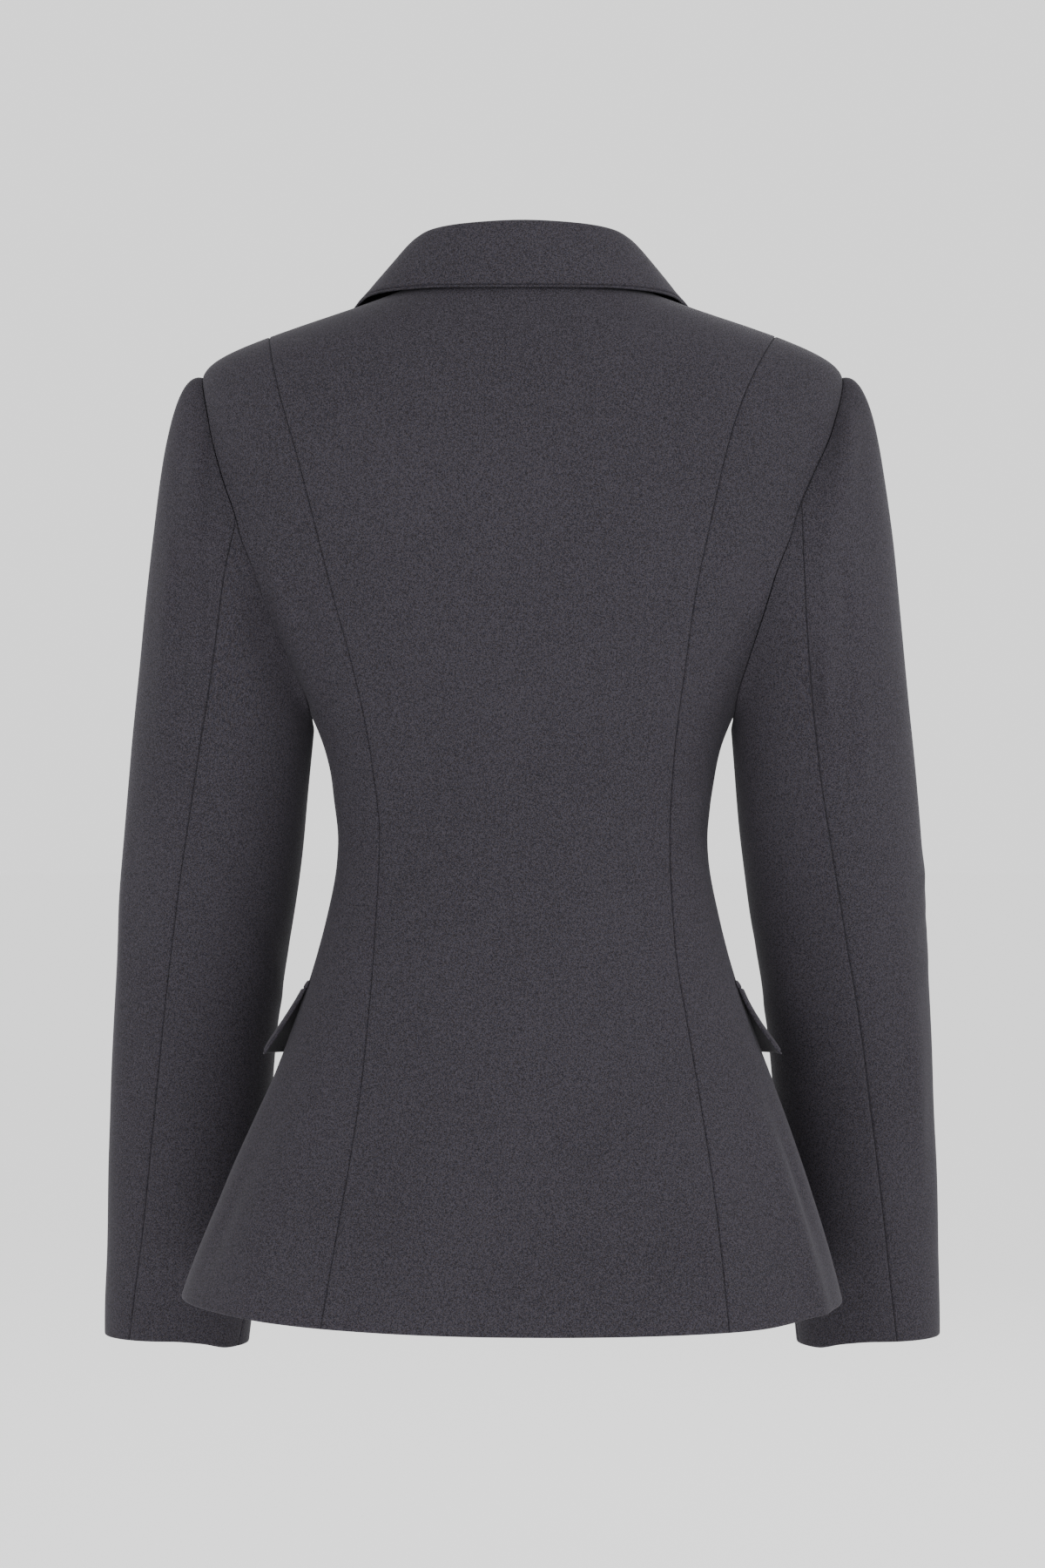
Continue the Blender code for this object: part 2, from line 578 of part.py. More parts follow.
def make_lapel(side):
    roll, out = grid(np.linspace(LAPEL_START, LAPEL_END, LAPEL_ROWS), LAPEL_COLUMNS)
    outer, outward = lapel_points(roll, out, side)
    wall("lapel_" + SIDE_NAMES[side], outer, outward, CREPE, ("last_row",))


# Collar
def collar_points(station, strip):
    """The collar's visible face. strip runs from 0 at the neck seam over the roll to 1 at the edge
    of the fall. The station is negative on the wearer's right."""
    side = np.where(station < 0, -1.0, 1.0)
    s = np.abs(station)
    neck_height = COLLAR.read("neck", s)
    neck = body(neck_height, COLLAR.read("neck_turn", s))
    neck = neck - points(0, 0.0012, 0) * ease(2.5 - s)[..., None] + points(0, 0, 0.0008)
    edge_height = COLLAR.read("edge", s)
    edge_turn = COLLAR.read("edge_turn", s)
    lift = np.where(side > 0, COLLAR.read("lift_left", s), COLLAR.read("lift_right", s))
    edge = body(edge_height, edge_turn) + body_outward(edge_height, edge_turn) * lift[..., None]
    fold = points(COLLAR.read("fold_x", s), COLLAR.read("fold_y", s), COLLAR.read("fold_z", s))
    outward = edge - neck
    outward[..., 2] = 0.0
    outward = unit(outward)

    rise = (fold - neck)[..., 2:3]
    t = np.clip(strip / STAND_SHARE, 0, 1)[..., None]
    stand = bezier(neck, neck + points(0, 0, 1) * rise * 0.6, fold - outward * COLLAR_ROLL * 0.5, fold, t)

    t = np.clip((strip - STAND_SHARE) / (1 - STAND_SHARE), 0, 1)[..., None]
    before_edge = mix(edge, fold, 0.45) + outward * COLLAR_BULGE + points(0, 0, COLLAR_BULGE)
    fall = bezier(fold, fold + outward * COLLAR_ROLL, before_edge, edge, t)
    notch = on_front(np.array(NOTCH[0]), np.array(NOTCH[1]), np.array(LAY + 0.0002))
    bend = 0.6
    gorge_line = np.where(t < bend, mix(fold, notch, t / bend), mix(notch, edge, (t - bend) / (1 - bend)))
    fall = mix(fall, gorge_line, COLLAR.read("gorge", s)[..., None])
    place = np.where(strip[..., None] < STAND_SHARE, stand, fall)
    place[..., 0] *= side
    return place


def bezier(start, leave, arrive, end, t):
    return (start * (1 - t) ** 3 + 3 * leave * t * (1 - t) ** 2
            + 3 * arrive * t * t * (1 - t) + end * t ** 3)


def make_collar():
    station, strip = grid(np.linspace(-COLLAR_END, COLLAR_END, COLLAR_STATIONS), COLLAR_STRIPS)
    outer = collar_points(station, strip)
    along = collar_points(station + 0.05, strip) - collar_points(station - 0.05, strip)
    over = collar_points(station, np.minimum(strip + 0.01, 1)) - collar_points(
        station, np.maximum(strip - 0.01, 0))
    wall("collar", outer, unit(np.cross(along, over)), CREPE, ("first_row", "last_row"))


# Sleeves
def armhole_loop(side):
    """Points down the back of one armhole and up its front, laid out on the left, with each one's
    share of the way from the shoulder tip to the underarm."""
    share = np.linspace(0, 1, 121)
    halves = []
    for column in ("back_" + SIDE_NAMES[side], "front"):
        line = body(ARMHOLE.read("height", share), ARMHOLE.read(column, share))
        lengths = np.concatenate([[0], np.cumsum(np.linalg.norm(np.diff(line, axis=0), axis=1))])
        halves.append((lengths / lengths[-1], line))
    return halves


ARMHOLE_HALVES = {side: armhole_loop(side) for side in (LEFT, RIGHT)}


def armhole_point(around, side):
    """The armhole's edge: 0 at the shoulder tip, 90 at the back, 180 under the arm, 270 in front."""
    around = np.mod(around, 360)
    sides = []
    for (share, line), way in zip(ARMHOLE_HALVES[side], (around / 180, (360 - around) / 180)):
        sides.append(np.stack([np.interp(way, share, line[:, k]) for k in range(3)], axis=-1))
    return np.where((around <= 180)[..., None], sides[0], sides[1])


def sleeve_ring(around, height):
    angle = np.radians(around)
    x = SLEEVE.read("centre_x", height) + SLEEVE.read("half_width", height) * np.cos(angle)
    y = SLEEVE.read("centre_y", height) + SLEEVE.read("half_depth", height) * np.sin(angle)
    rise = CUFF_LINE.read("rise", np.mod(around, 360))
    return points(x, y, height + rise * ease((CUFF_LINE_TOP - height) / (CUFF_LINE_TOP - CUFF)))


def sleeve_fold_rise(height, around, side):
    total = np.zeros(np.broadcast(height, around).shape)
    around = np.mod(around + 180, 360) - 180
    for fold_side, top, bottom, top_round, bottom_round, spread, rise in SLEEVE_FOLDS.rows:
        if fold_side == side:
            down = (top - height) / (top - bottom)
            ridge = mix(top_round, bottom_round, np.clip(down, 0, 1))
            ends = ease(down * 3) * ease((1 - down) * 3)
            total = total + rise * ends * np.exp(-((around - ridge) / spread) ** 2)
    return total


def smooth_sleeve(around, along, side):
    """A sleeve with no folds, laid out on the left. along is 0 at the armhole, 1 at the top ring and
    2 at the cuff."""
    turned = np.mod(around, 360)
    leave = unit(points(SLEEVE_HEAD.read("out", turned), SLEEVE_HEAD.read("back", turned),
                        SLEEVE_HEAD.read("up", turned)))
    start = armhole_point(around, side) + leave * CAP_LEAVES
    top = np.full_like(around, SLEEVE_TOP)
    end = sleeve_ring(around, top)
    settle = unit(sleeve_ring(around, top - 0.012) - end)
    length = np.linalg.norm(end - start, axis=-1, keepdims=True)
    t = np.clip(along, 0, 1)[..., None]
    reach = SLEEVE_HEAD.read("reach", turned)[..., None]
    back_off = length * SLEEVE_HEAD.read("settle", turned)[..., None]
    head = bezier(start, start + leave * reach, end - settle * back_off, end, t)
    tube = sleeve_ring(around, mix(SLEEVE_TOP, CUFF, np.clip(along - 1, 0, 1)))
    return np.where(along[..., None] < 1, head, tube)


def sleeve_outward(around, along, side):
    down = smooth_sleeve(around, np.minimum(along + 0.01, 2), side) - smooth_sleeve(
        around, np.maximum(along - 0.01, 0), side)
    across = smooth_sleeve(around + 0.5, along, side) - smooth_sleeve(around - 0.5, along, side)
    return unit(np.cross(down, across))


def sleeve_seam(place, side, along):
    return SLEEVE_SEAMS.read(place + SIDE_NAMES[side], along)


def make_sleeve_piece(name, side, along, around, seams):
    outward = sleeve_outward(around, along, side)
    outer = smooth_sleeve(around, along, side)
    outer = outer + outward * sleeve_fold_rise(outer[..., 2], around, side)[..., None]
    flip = np.array([side, 1, 1])
    wall(name + "_" + SIDE_NAMES[side], outer * flip, outward * flip, CREPE, seams)


def sleeve_rows():
    head = np.linspace(0, 1, CAP_ROWS + 1) ** 1.25
    tube = np.linspace(1, 2, SLEEVE_ROWS + 1)
    return np.concatenate([head, tube[1:]])


def make_sleeve(side):
    along, share = grid(sleeve_rows(), np.linspace(0, 1, UPPER_COLUMNS + 1))
    front = sleeve_seam("front_", side, along) - 360
    back = sleeve_seam("back_", side, along)
    make_sleeve_piece("sleeve_upper", side, along, mix(front, back, share),
                      ("first_column", "last_column"))
    along, share = grid(sleeve_rows(), np.linspace(0, 1, UNDER_COLUMNS + 1))
    front = sleeve_seam("front_", side, along)
    back = sleeve_seam("back_", side, along)
    make_sleeve_piece("sleeve_under", side, along, mix(back, front, share),
                      ("first_column", "last_column"))


# Pockets
def flap_place(length, drop, side):
    """A flap's outer face: length is 0 at its back end, drop is 0 at the seam and 1 at its edge."""
    turn = mix(FLAP_TURNS[0], FLAP_TURNS[1], length)
    height = FLAP_TOP + FLAP_SLOPE * length - FLAP_DROP * drop
    curl = FLAP_CURL * np.clip((drop - 0.72) / 0.28, 0, 1) ** 2
    out = FLAP_LAY + FLAP_JUT * drop ** FLAP_SWEEP[side] - curl
    outward = body_outward(height, turn * side)
    return body(height, turn * side) + outward * out[..., None], outward


def make_flap(side):
    length, drop = grid(np.linspace(0, 1, FLAP_COLUMNS), np.linspace(0, 1, FLAP_ROWS))
    from_end = np.minimum(length, 1 - length) * FLAP_LENGTH
    inside = np.clip(1 - from_end / FLAP_CORNER, 0, 1)
    cut = (1 - np.sqrt(1 - inside ** 2)) * FLAP_CORNER / FLAP_DROP
    outer, outward = flap_place(length, drop * (1 - cut), side)
    wall("pocket_flap_" + SIDE_NAMES[side], outer, outward, CREPE)


def make_jet(side):
    length, drop = grid(np.linspace(0, 1, FLAP_COLUMNS), np.linspace(0, 1, 2))
    top = -(JET_HEIGHT + JET_SPACE) / FLAP_DROP
    bottom = -JET_SPACE / FLAP_DROP
    turn = mix(FLAP_TURNS[0], FLAP_TURNS[1], length)
    height = FLAP_TOP + FLAP_SLOPE * length - FLAP_DROP * mix(top, bottom, drop)
    outward = body_outward(height, turn * side)
    outer = body(height, turn * side) + outward * JET_LAY
    wall("pocket_jet_" + SIDE_NAMES[side], outer, outward, CREPE, (), JET_THICKNESS)


# Buttons
def make_button(name, height):
    seat = on_front(np.array(0.0), np.array(height), np.array(LAY + BUTTON_SEAT))
    facing = Vector(body_outward(np.array(height), np.array(180.0)))
    rim = BUTTON_RADIUS * 0.78
    profile = [(0.0, 0.0), (BUTTON_RADIUS * 0.7, 0.0), (BUTTON_RADIUS, BUTTON_THICKNESS * 0.4),
               (BUTTON_RADIUS * 0.95, BUTTON_THICKNESS), (rim, BUTTON_THICKNESS),
               (rim * 0.85, BUTTON_THICKNESS * 0.72), (0.0, BUTTON_THICKNESS * 0.72)]
    mesh = bmesh.new()
    ring = [mesh.verts.new((radius, 0, up)) for radius, up in profile]
    edges = [mesh.edges.new(pair) for pair in zip(ring, ring[1:])]
    bmesh.ops.spin(mesh, geom=ring + edges, cent=(0, 0, 0), axis=(0, 0, 1), angle=math.tau,
                   steps=BUTTON_SIDES, use_merge=True)
    bmesh.ops.remove_doubles(mesh, verts=mesh.verts, dist=1e-6)
    turned = facing.to_track_quat("Z", "Y").to_matrix().to_4x4()
    bmesh.ops.transform(mesh, matrix=Matrix.Translation(Vector(seat)) @ turned, verts=mesh.verts)
    finish(name, mesh, HORN)


def main():
    for old in list(bpy.data.objects):
        bpy.data.objects.remove(old)
    make_centre_back()
    make_collar()
    for side in (LEFT, RIGHT):
        make_side_back(side)
        make_side_front(side)
        make_front(side)
        make_lapel(side)
        make_sleeve(side)
        make_flap(side)
        make_jet(side)
    make_button("button_upper", BUTTON_HEIGHTS[0])
    make_button("button_lower", BUTTON_HEIGHTS[1])


main()
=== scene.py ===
import math

import bmesh
import bpy
import numpy as np
from mathutils import Matrix, Vector


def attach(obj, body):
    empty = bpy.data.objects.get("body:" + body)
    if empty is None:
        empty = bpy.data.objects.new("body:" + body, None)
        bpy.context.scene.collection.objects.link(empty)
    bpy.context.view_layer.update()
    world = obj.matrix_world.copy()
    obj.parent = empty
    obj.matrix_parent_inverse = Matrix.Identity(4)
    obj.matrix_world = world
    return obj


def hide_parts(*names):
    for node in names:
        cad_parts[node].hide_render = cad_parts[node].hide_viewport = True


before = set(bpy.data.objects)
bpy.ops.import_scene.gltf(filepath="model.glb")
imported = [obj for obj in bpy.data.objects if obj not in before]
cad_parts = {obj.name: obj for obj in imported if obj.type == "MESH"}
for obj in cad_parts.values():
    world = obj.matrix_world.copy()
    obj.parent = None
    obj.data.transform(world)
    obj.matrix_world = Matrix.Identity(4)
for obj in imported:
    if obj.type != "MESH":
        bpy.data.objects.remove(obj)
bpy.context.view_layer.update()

# Camera: straight behind the blazer, level, a long way off
CAMERA_AWAY = 2.2
CAMERA_HEIGHT = -0.317
PICTURE_HEIGHT = 1.008      # what the picture takes in at the middle of the blazer

# Driving sizes
WALL = 0.002                # thickness of the cloth, two layers at a pressed edge
LAY = 0.0036                # from one piece's outer face to that of a piece lying on it
SHOULDER_SEAM_MEET = -0.030  # height where the princess seams meet the shoulder seam
UNDERARM = -0.273
HEM = -0.647
HEM_LINE_TOP = -0.570       # the rows start to follow the hem's line here
NECK_HALF_WIDTH = 0.074
GORGE_TOP = -0.045          # where the neck seam meets the roll line
BREAK = -0.285              # where the lapel starts to turn, just above the top button
FRONT_OVERLAP = 0.020       # how far each front passes the middle
LAP_REACH = 0.070           # the right front starts to rise over the left one here
LAP_SLOPE = 0.040           # and has risen after this much across
LAP_DOUBLE = (-0.305, -0.170)  # heights between which it also clears the left lapel's foot
LAP_DOUBLE_ENDS = (0.020, 0.040)  # lengths in which that comes in at the bottom and goes at the top
LAP_DOUBLE_RISE = 1.3       # how much higher it lies there, as a share of LAY
SKIRT_LEAN = 0.0066         # the skirt stands out this much more on the left at the hem
SKIRT_LEAN_TOP = -0.502
SLEEVE_TOP = -0.283         # the first level ring of a sleeve, just under the armhole
CUFF = -0.689
CUFF_LINE_TOP = -0.600      # the rows start to follow the cuff's line here
CAP_LEAVES = -0.0006        # how far out from the armhole's edge a sleeve head starts: just inside it
HEAD_SETTLES = 0.012        # the head comes down in the way the sleeve runs over this length

# Fine grids
STEP = 0.0034               # spacing of their rows and columns
COLLAR_STEP = 0.0026
POCKET_STEP = 0.0022
LAPEL_STEP = 0.0019
ROW_SAMPLES = 301           # places at which a piece is measured before its grid is laid
COLUMN_SAMPLES = 41
FEW_COLUMNS = 9             # columns along which its rows are measured
EDGES_MOST = 0.42           # an edge's finish takes at most this share of the piece
TURN_STEP = 0.4             # degrees and metres over which the way the body faces is measured
HEIGHT_STEP = 0.001

LEFT = 1
RIGHT = -1
SIDE_NAMES = {LEFT: "left", RIGHT: "right"}


def mix(start, end, share):
    return start + (end - start) * share


def ease(share):
    share = np.clip(share, 0.0, 1.0)
    return share * share * (3 - 2 * share)


def power(value, exponent):
    return np.sign(value) * np.abs(value) ** exponent


def unit(vectors):
    return vectors / np.maximum(np.linalg.norm(vectors, axis=-1, keepdims=True), 1e-12)


def points(x, y, z):
    return np.stack(np.broadcast_arrays(x, y, z), axis=-1).astype(float)


def bezier(start, leave, arrive, end, t):
    return (start * (1 - t) ** 3 + 3 * leave * t * (1 - t) ** 2
            + 3 * arrive * t * t * (1 - t) + end * t ** 3)


class Table:
    """Rows of named columns, read between rows along a smooth curve. soften is the width over which
    the curve is eased, in the first column's own unit."""

    def __init__(self, columns, soften, rows):
        self.columns = columns.split()
        self.rows = np.array(sorted(rows), dtype=float)
        x = self.rows[:, 0]
        self.fine = np.linspace(x[0], x[-1], 1601)
        self.curves = {}
        for k, column in enumerate(self.columns):
            self.curves[column] = self.eased(self.curve(x, self.rows[:, k]), soften)

    def curve(self, x, y):
        rise = np.diff(y) / np.diff(x)
        slope = np.zeros(len(x))
        slope[0] = rise[0]
        slope[-1] = rise[-1]
        for i in range(1, len(x) - 1):
            if rise[i - 1] * rise[i] > 0:
                slope[i] = 2 * rise[i - 1] * rise[i] / (rise[i - 1] + rise[i])
        i = np.clip(np.searchsorted(x, self.fine) - 1, 0, len(x) - 2)
        step = x[i + 1] - x[i]
        t = (self.fine - x[i]) / step
        start = y[i] * (1 + 2 * t) * (1 - t) ** 2 + slope[i] * step * t * (1 - t) ** 2
        end = y[i + 1] * t * t * (3 - 2 * t) + slope[i + 1] * step * t * t * (t - 1)
        return start + end

    def eased(self, curve, soften):
        half = round(soften / (self.fine[1] - self.fine[0]))
        if half < 1:
            return curve
        before = 2 * curve[0] - curve[half:0:-1]
        after = 2 * curve[-1] - curve[-2:-half - 2:-1]
        weights = np.hanning(2 * half + 3)[1:-1]
        return np.convolve(np.concatenate([before, curve, after]), weights / weights.sum(), "valid")

    def read(self, column, where):
        return np.interp(where, self.fine, self.curves[column])


# Level sections of the body, from the neck to the hem. The depths run from the middle plane to the
# back and to the front, middle is where the section is widest, and round is its superellipse power.
BODY = Table("height half_width back_depth front_depth middle back_round front_round", 0.012, [
    (0.006, 0.0560, 0.0660, 0.0100, -0.003, 2.10, 2.00),
    (0.000, 0.0740, 0.0680, 0.0150, -0.003, 2.10, 2.00),
    (-0.010, 0.1015, 0.0730, 0.0300, -0.003, 2.00, 2.00),
    (-0.020, 0.1334, 0.0765, 0.0400, -0.003, 1.90, 2.00),
    (-0.030, 0.1620, 0.0796, 0.0473, -0.003, 1.90, 2.00),
    (-0.036, 0.1787, 0.0813, 0.0520, -0.003, 1.90, 2.00),
    (-0.042, 0.1922, 0.0830, 0.0560, -0.003, 1.92, 2.00),
    (-0.048, 0.2015, 0.0842, 0.0600, -0.003, 1.98, 2.00),
    (-0.0554, 0.2065, 0.0855, 0.0650, -0.003, 2.10, 2.00),
    (-0.066, 0.2066, 0.0872, 0.0715, -0.003, 2.30, 2.00),
    (-0.077, 0.2068, 0.0890, 0.0780, -0.003, 2.38, 2.00),
    (-0.100, 0.2097, 0.0920, 0.0900, -0.003, 2.32, 2.05),
    (-0.126, 0.2108, 0.0945, 0.1025, -0.003, 2.30, 2.10),
    (-0.156, 0.2106, 0.0950, 0.1135, -0.003, 2.30, 2.20),
    (-0.181, 0.2020, 0.0940, 0.1215, -0.003, 2.30, 2.30),
    (-0.209, 0.1820, 0.0905, 0.1280, -0.003, 2.30, 2.40),
    (-0.240, 0.1570, 0.0850, 0.1300, -0.002, 2.30, 2.45),
    (-0.273, 0.1356, 0.0780, 0.1262, -0.001, 2.30, 2.40),
    (-0.300, 0.1254, 0.0730, 0.1190, 0.000, 2.25, 2.35),
    (-0.334, 0.1204, 0.0695, 0.1100, 0.000, 2.20, 2.30),
    (-0.351, 0.1187, 0.0690, 0.1075, 0.000, 2.20, 2.30),
    (-0.367, 0.1196, 0.0700, 0.1070, 0.000, 2.20, 2.30),
    (-0.401, 0.1257, 0.0750, 0.1100, 0.002, 2.20, 2.30),
    (-0.435, 0.1344, 0.0830, 0.1140, 0.006, 2.20, 2.25),
    (-0.470, 0.1465, 0.0930, 0.1175, 0.012, 2.15, 2.20),
    (-0.502, 0.1583, 0.1030, 0.1200, 0.018, 2.15, 2.20),
    (-0.535, 0.1715, 0.1140, 0.1225, 0.023, 2.15, 2.20),
    (-0.570, 0.1850, 0.1262, 0.1250, 0.027, 2.15, 2.20),
    (-0.601, 0.1955, 0.1370, 0.1275, 0.030, 2.15, 2.20),
    (-0.647, 0.2088, 0.1520, 0.1315, 0.034, 2.15, 2.20),
    (-0.660, 0.2120, 0.1560, 0.1325, 0.035, 2.15, 2.20),
])

# The hem isn't level: by turn from centre back, how much higher than HEM it runs.
HEM_LINE = Table("turn rise", 9.0, [
    (-180, 0.0000),
    (-130, 0.0000),
    (-90, 0.0038),
    (-65, 0.0024),
    (-42, -0.0020),
    (-30, -0.0019),
    (0, -0.0014),
    (35, 0.0012),
    (55, 0.0046),
    (90, 0.0069),
    (130, 0.0015),
    (180, 0.0000),
])

# How far the princess seams run from the middle: the back ones as shown on each side.
PRINCESS = Table("height back_left back_right front", 0.012, [
    (-0.030, 0.1620, 0.1620, 0.1620),
    (-0.050, 0.1575, 0.1500, 0.1500),
    (-0.073, 0.1520, 0.1390, 0.1380),
    (-0.112, 0.1406, 0.1262, 0.1220),
    (-0.160, 0.1279, 0.1155, 0.1100),
    (-0.201, 0.1177, 0.1073, 0.1020),
    (-0.241, 0.1070, 0.1020, 0.0970),
    (-0.303, 0.0950, 0.0955, 0.0860),
    (-0.350, 0.0905, 0.0932, 0.0820),
    (-0.412, 0.0930, 0.0955, 0.0860),
    (-0.477, 0.0974, 0.1045, 0.0940),
    (-0.550, 0.1050, 0.1165, 0.1020),
    (-0.600, 0.1120, 0.1235, 0.1070),
    (-0.647, 0.1183, 0.1296, 0.1120),
])

# The armhole, from the shoulder tip to the underarm. The turns say how far round the body it lies,
# at the back as shown on each side.
ARMHOLE = Table("share height back_left back_right front", 0.03, [
    (0.00, -0.0554, 90.0, 90.0, 90.0),
    (0.03, -0.0568, 85.6, 85.9, 97.3),
    (0.06, -0.0610, 82.8, 82.9, 102.8),
    (0.11, -0.0695, 78.9, 79.0, 109.0),
    (0.15, -0.0770, 75.9, 75.6, 112.9),
    (0.21, -0.0880, 71.8, 70.6, 117.2),
    (0.26, -0.1000, 68.2, 66.0, 120.6),
    (0.31, -0.1117, 65.1, 61.9, 123.4),
    (0.36, -0.1260, 61.9, 57.9, 126.4),
    (0.45, -0.1560, 56.0, 51.4, 131.5),
    (0.55, -0.1810, 54.9, 50.2, 132.0),
    (0.65, -0.2090, 59.3, 54.5, 127.5),
    (0.78, -0.2400, 67.6, 63.6, 117.0),
    (0.89, -0.2620, 75.5, 73.2, 105.0),
    (0.96, -0.2710, 83.6, 82.8, 96.5),
    (1.00, -0.2730, 90.0, 90.0, 90.0),
])

# The edge of a front, from the side neck point down the neck seam, the roll line and the front edge.
FRONT_EDGE = Table("height across", 0.004, [
    (0.000, NECK_HALF_WIDTH),
    (-0.010, 0.0715),
    (-0.025, 0.0675),
    (GORGE_TOP, 0.0615),
    (-0.105, 0.0416),
    (-0.165, 0.0217),
    (-0.225, 0.0019),
    (BREAK, -0.0165),
    (-0.298, -0.0190),
    (-0.310, -FRONT_OVERLAP),
    (HEM, -FRONT_OVERLAP),
])

# Soft ridges of the skirt: side 1 is the wearer's left and -1 the right, turns run from centre back.
SKIRT_FOLDS = [
    # side, top, bottom, turn at the top, turn at the bottom, spread, rise
    (-1, -0.480, HEM, 63.0, 66.0, 4.5, 0.0030),
    (1, -0.500, HEM, 58.0, 49.0, 9.0, 0.0022),
]
SKIRT_FOLD_GROWS = 1 / 1.4  # share of its length in which a ridge grows to its full rise

# Level rings of the left sleeve. A turn round the sleeve is 0 outside and 90 at the back.
SLEEVE = Table("height centre_x centre_y half_width half_depth", 0.016, [
    (SLEEVE_TOP, 0.1931, -0.012, 0.0580, 0.0630),
    (-0.317, 0.1969, -0.021, 0.0585, 0.0622),
    (-0.351, 0.2009, -0.032, 0.0589, 0.0610),
    (-0.385, 0.2054, -0.044, 0.0583, 0.0597),
    (-0.420, 0.2098, -0.056, 0.0569, 0.0580),
    (-0.455, 0.2143, -0.066, 0.0551, 0.0562),
    (-0.491, 0.2180, -0.075, 0.0539, 0.0545),
    (-0.526, 0.2209, -0.083, 0.0534, 0.0528),
    (-0.562, 0.2236, -0.090, 0.0527, 0.0510),
    (-0.597, 0.2263, -0.096, 0.0516, 0.0490),
    (-0.633, 0.2290, -0.101, 0.0504, 0.0470),
    (-0.669, 0.2317, -0.106, 0.0493, 0.0450),
    (CUFF, 0.2330, -0.108, 0.0484, 0.0440),
])

# The sleeve seams, by the way down the sleeve (1 at its first level ring and 2 at the cuff), as
# turns round it. The right sleeve is turned on its arm, as shown.
SLEEVE_SEAMS = Table("along back_left back_right front_left front_right", 0.03, [
    (0.00, 78.3, 73.7, 235.0, 235.0),
    (0.04, 83.0, 77.6, 235.0, 236.0),
    (0.12, 86.9, 86.1, 235.0, 238.0),
    (0.20, 89.2, 91.6, 235.0, 240.0),
    (0.35, 90.6, 96.6, 235.0, 243.0),
    (0.50, 90.0, 99.0, 235.0, 246.0),
    (0.65, 88.0, 99.7, 235.0, 248.5),
    (0.80, 85.2, 99.6, 235.0, 250.0),
    (1.00, 81.9, 99.0, 235.0, 251.0),
    (1.08, 79.8, 98.1, 229.3, 245.5),
    (1.16, 77.7, 95.9, 222.6, 239.0),
    (1.25, 75.7, 93.7, 215.0, 232.0),
    (1.35, 73.8, 91.1, 208.0, 225.0),
    (1.50, 71.5, 86.6, 197.0, 213.0),
    (1.60, 69.2, 83.9, 188.0, 203.5),
    (1.70, 66.5, 80.6, 180.0, 195.0),
    (1.80, 63.6, 77.6, 171.5, 186.5),
    (1.90, 59.0, 75.2, 162.5, 178.0),
    (2.00, 53.9, 71.8, 153.0, 170.0),
])

# The cuff's line: by turn round the sleeve, how much higher than CUFF it runs.
CUFF_LINE = Table("round rise", 10.0, [
    (0, 0.0020),
    (90, 0.0025),
    (115, 0.0004),
    (140, -0.0038),
    (180, -0.0038),
    (225, -0.0015),
    (270, 0.0004),
    (315, 0.0015),
    (360, 0.0020),
])

# How the sleeve head leaves the armhole: its direction there and how far it keeps it.
SLEEVE_HEAD = Table("round out back up reach settle", 0.0, [
    (0, 1.00, 0.00, 0.36, 0.0265, 0.62),
    (45, 0.95, 0.25, 0.05, 0.0245, 0.55),
    (90, 0.85, 0.25, -0.45, 0.024, 0.45),
    (135, 0.70, 0.15, -0.80, 0.010, 0.40),
    (180, 0.45, 0.00, -1.00, 0.003, 0.30),
    (225, 0.70, -0.20, -0.80, 0.010, 0.40),
    (270, 0.85, -0.35, -0.40, 0.024, 0.45),
    (315, 0.95, -0.25, 0.05, 0.0245, 0.55),
    (360, 1.00, 0.00, 0.36, 0.0265, 0.62),
])

# Soft ridges down the sleeves, by height and by turn round the sleeve.
SLEEVE_FOLDS = [
    # side, top, bottom, turn at the top, turn at the bottom, spread, rise
    (1, -0.110, -0.330, 50.0, 58.0, 13.0, 0.0022),
    (-1, -0.075, -0.230, 60.0, 72.0, 15.0, 0.0022),
]
SLEEVE_FOLD_ENDS = 1 / 3    # share of its length in which a ridge grows, and fades again

# The collar, from centre back to its front end. The neck and edge columns are places on the body,
# given by height and turn. The fold columns are the top of the roll, in space.
COLLAR = Table("station neck neck_turn fold_x fold_y fold_z edge edge_turn lift_left lift_right gorge",
               0.45, [
    (-1, 0.000, -25.0, -0.0315, 0.0595, 0.0345, -0.0093, -18.0, 0.0034, 0.0034, 0.0),
    (0, 0.000, 0.0, 0.0000, 0.0655, 0.0352, -0.0095, 0.0, 0.0032, 0.0032, 0.0),
    (1, 0.000, 25.0, 0.0315, 0.0595, 0.0345, -0.0093, 18.0, 0.0034, 0.0034, 0.0),
    (2, 0.000, 50.0, 0.0578, 0.0430, 0.0326, -0.0088, 40.0, 0.0035, 0.0033, 0.0),
    (3, 0.000, 72.0, 0.0692, 0.0200, 0.0272, -0.0090, 66.0, 0.0044, 0.0033, 0.0),
    (4, -0.001, 97.0, 0.0712, -0.0020, 0.0215, -0.0100, 90.0, 0.0050, 0.0034, 0.0),
    (5, -0.006, 128.7, 0.0700, -0.0200, 0.0125, -0.0190, 121.0, 0.0045, 0.0035, 0.0),
    (6, -0.015, 144.4, 0.0675, -0.0340, 0.0000, -0.0300, 134.0, 0.0044, 0.0038, 0.0),
    (7, -0.028, 155.3, 0.0635, -0.0475, -0.0175, -0.0440, 142.0, 0.0038, 0.0038, 0.0),
    (8, GORGE_TOP, 161.8, 0.0605, -0.0600, -0.0400, -0.0620, 144.2, 0.0038, 0.0038, 1.0),
])
COLLAR_END = 8
COLLAR_ROLL = 0.0065        # how far the roll stands out before it falls
COLLAR_BULGE = 0.0030       # roundness of the fall
COLLAR_SEAT = 0.0012        # at the back neck the stand starts this far inside the cloth
COLLAR_SEAT_ENDS = 2.5      # the station by which it no longer does
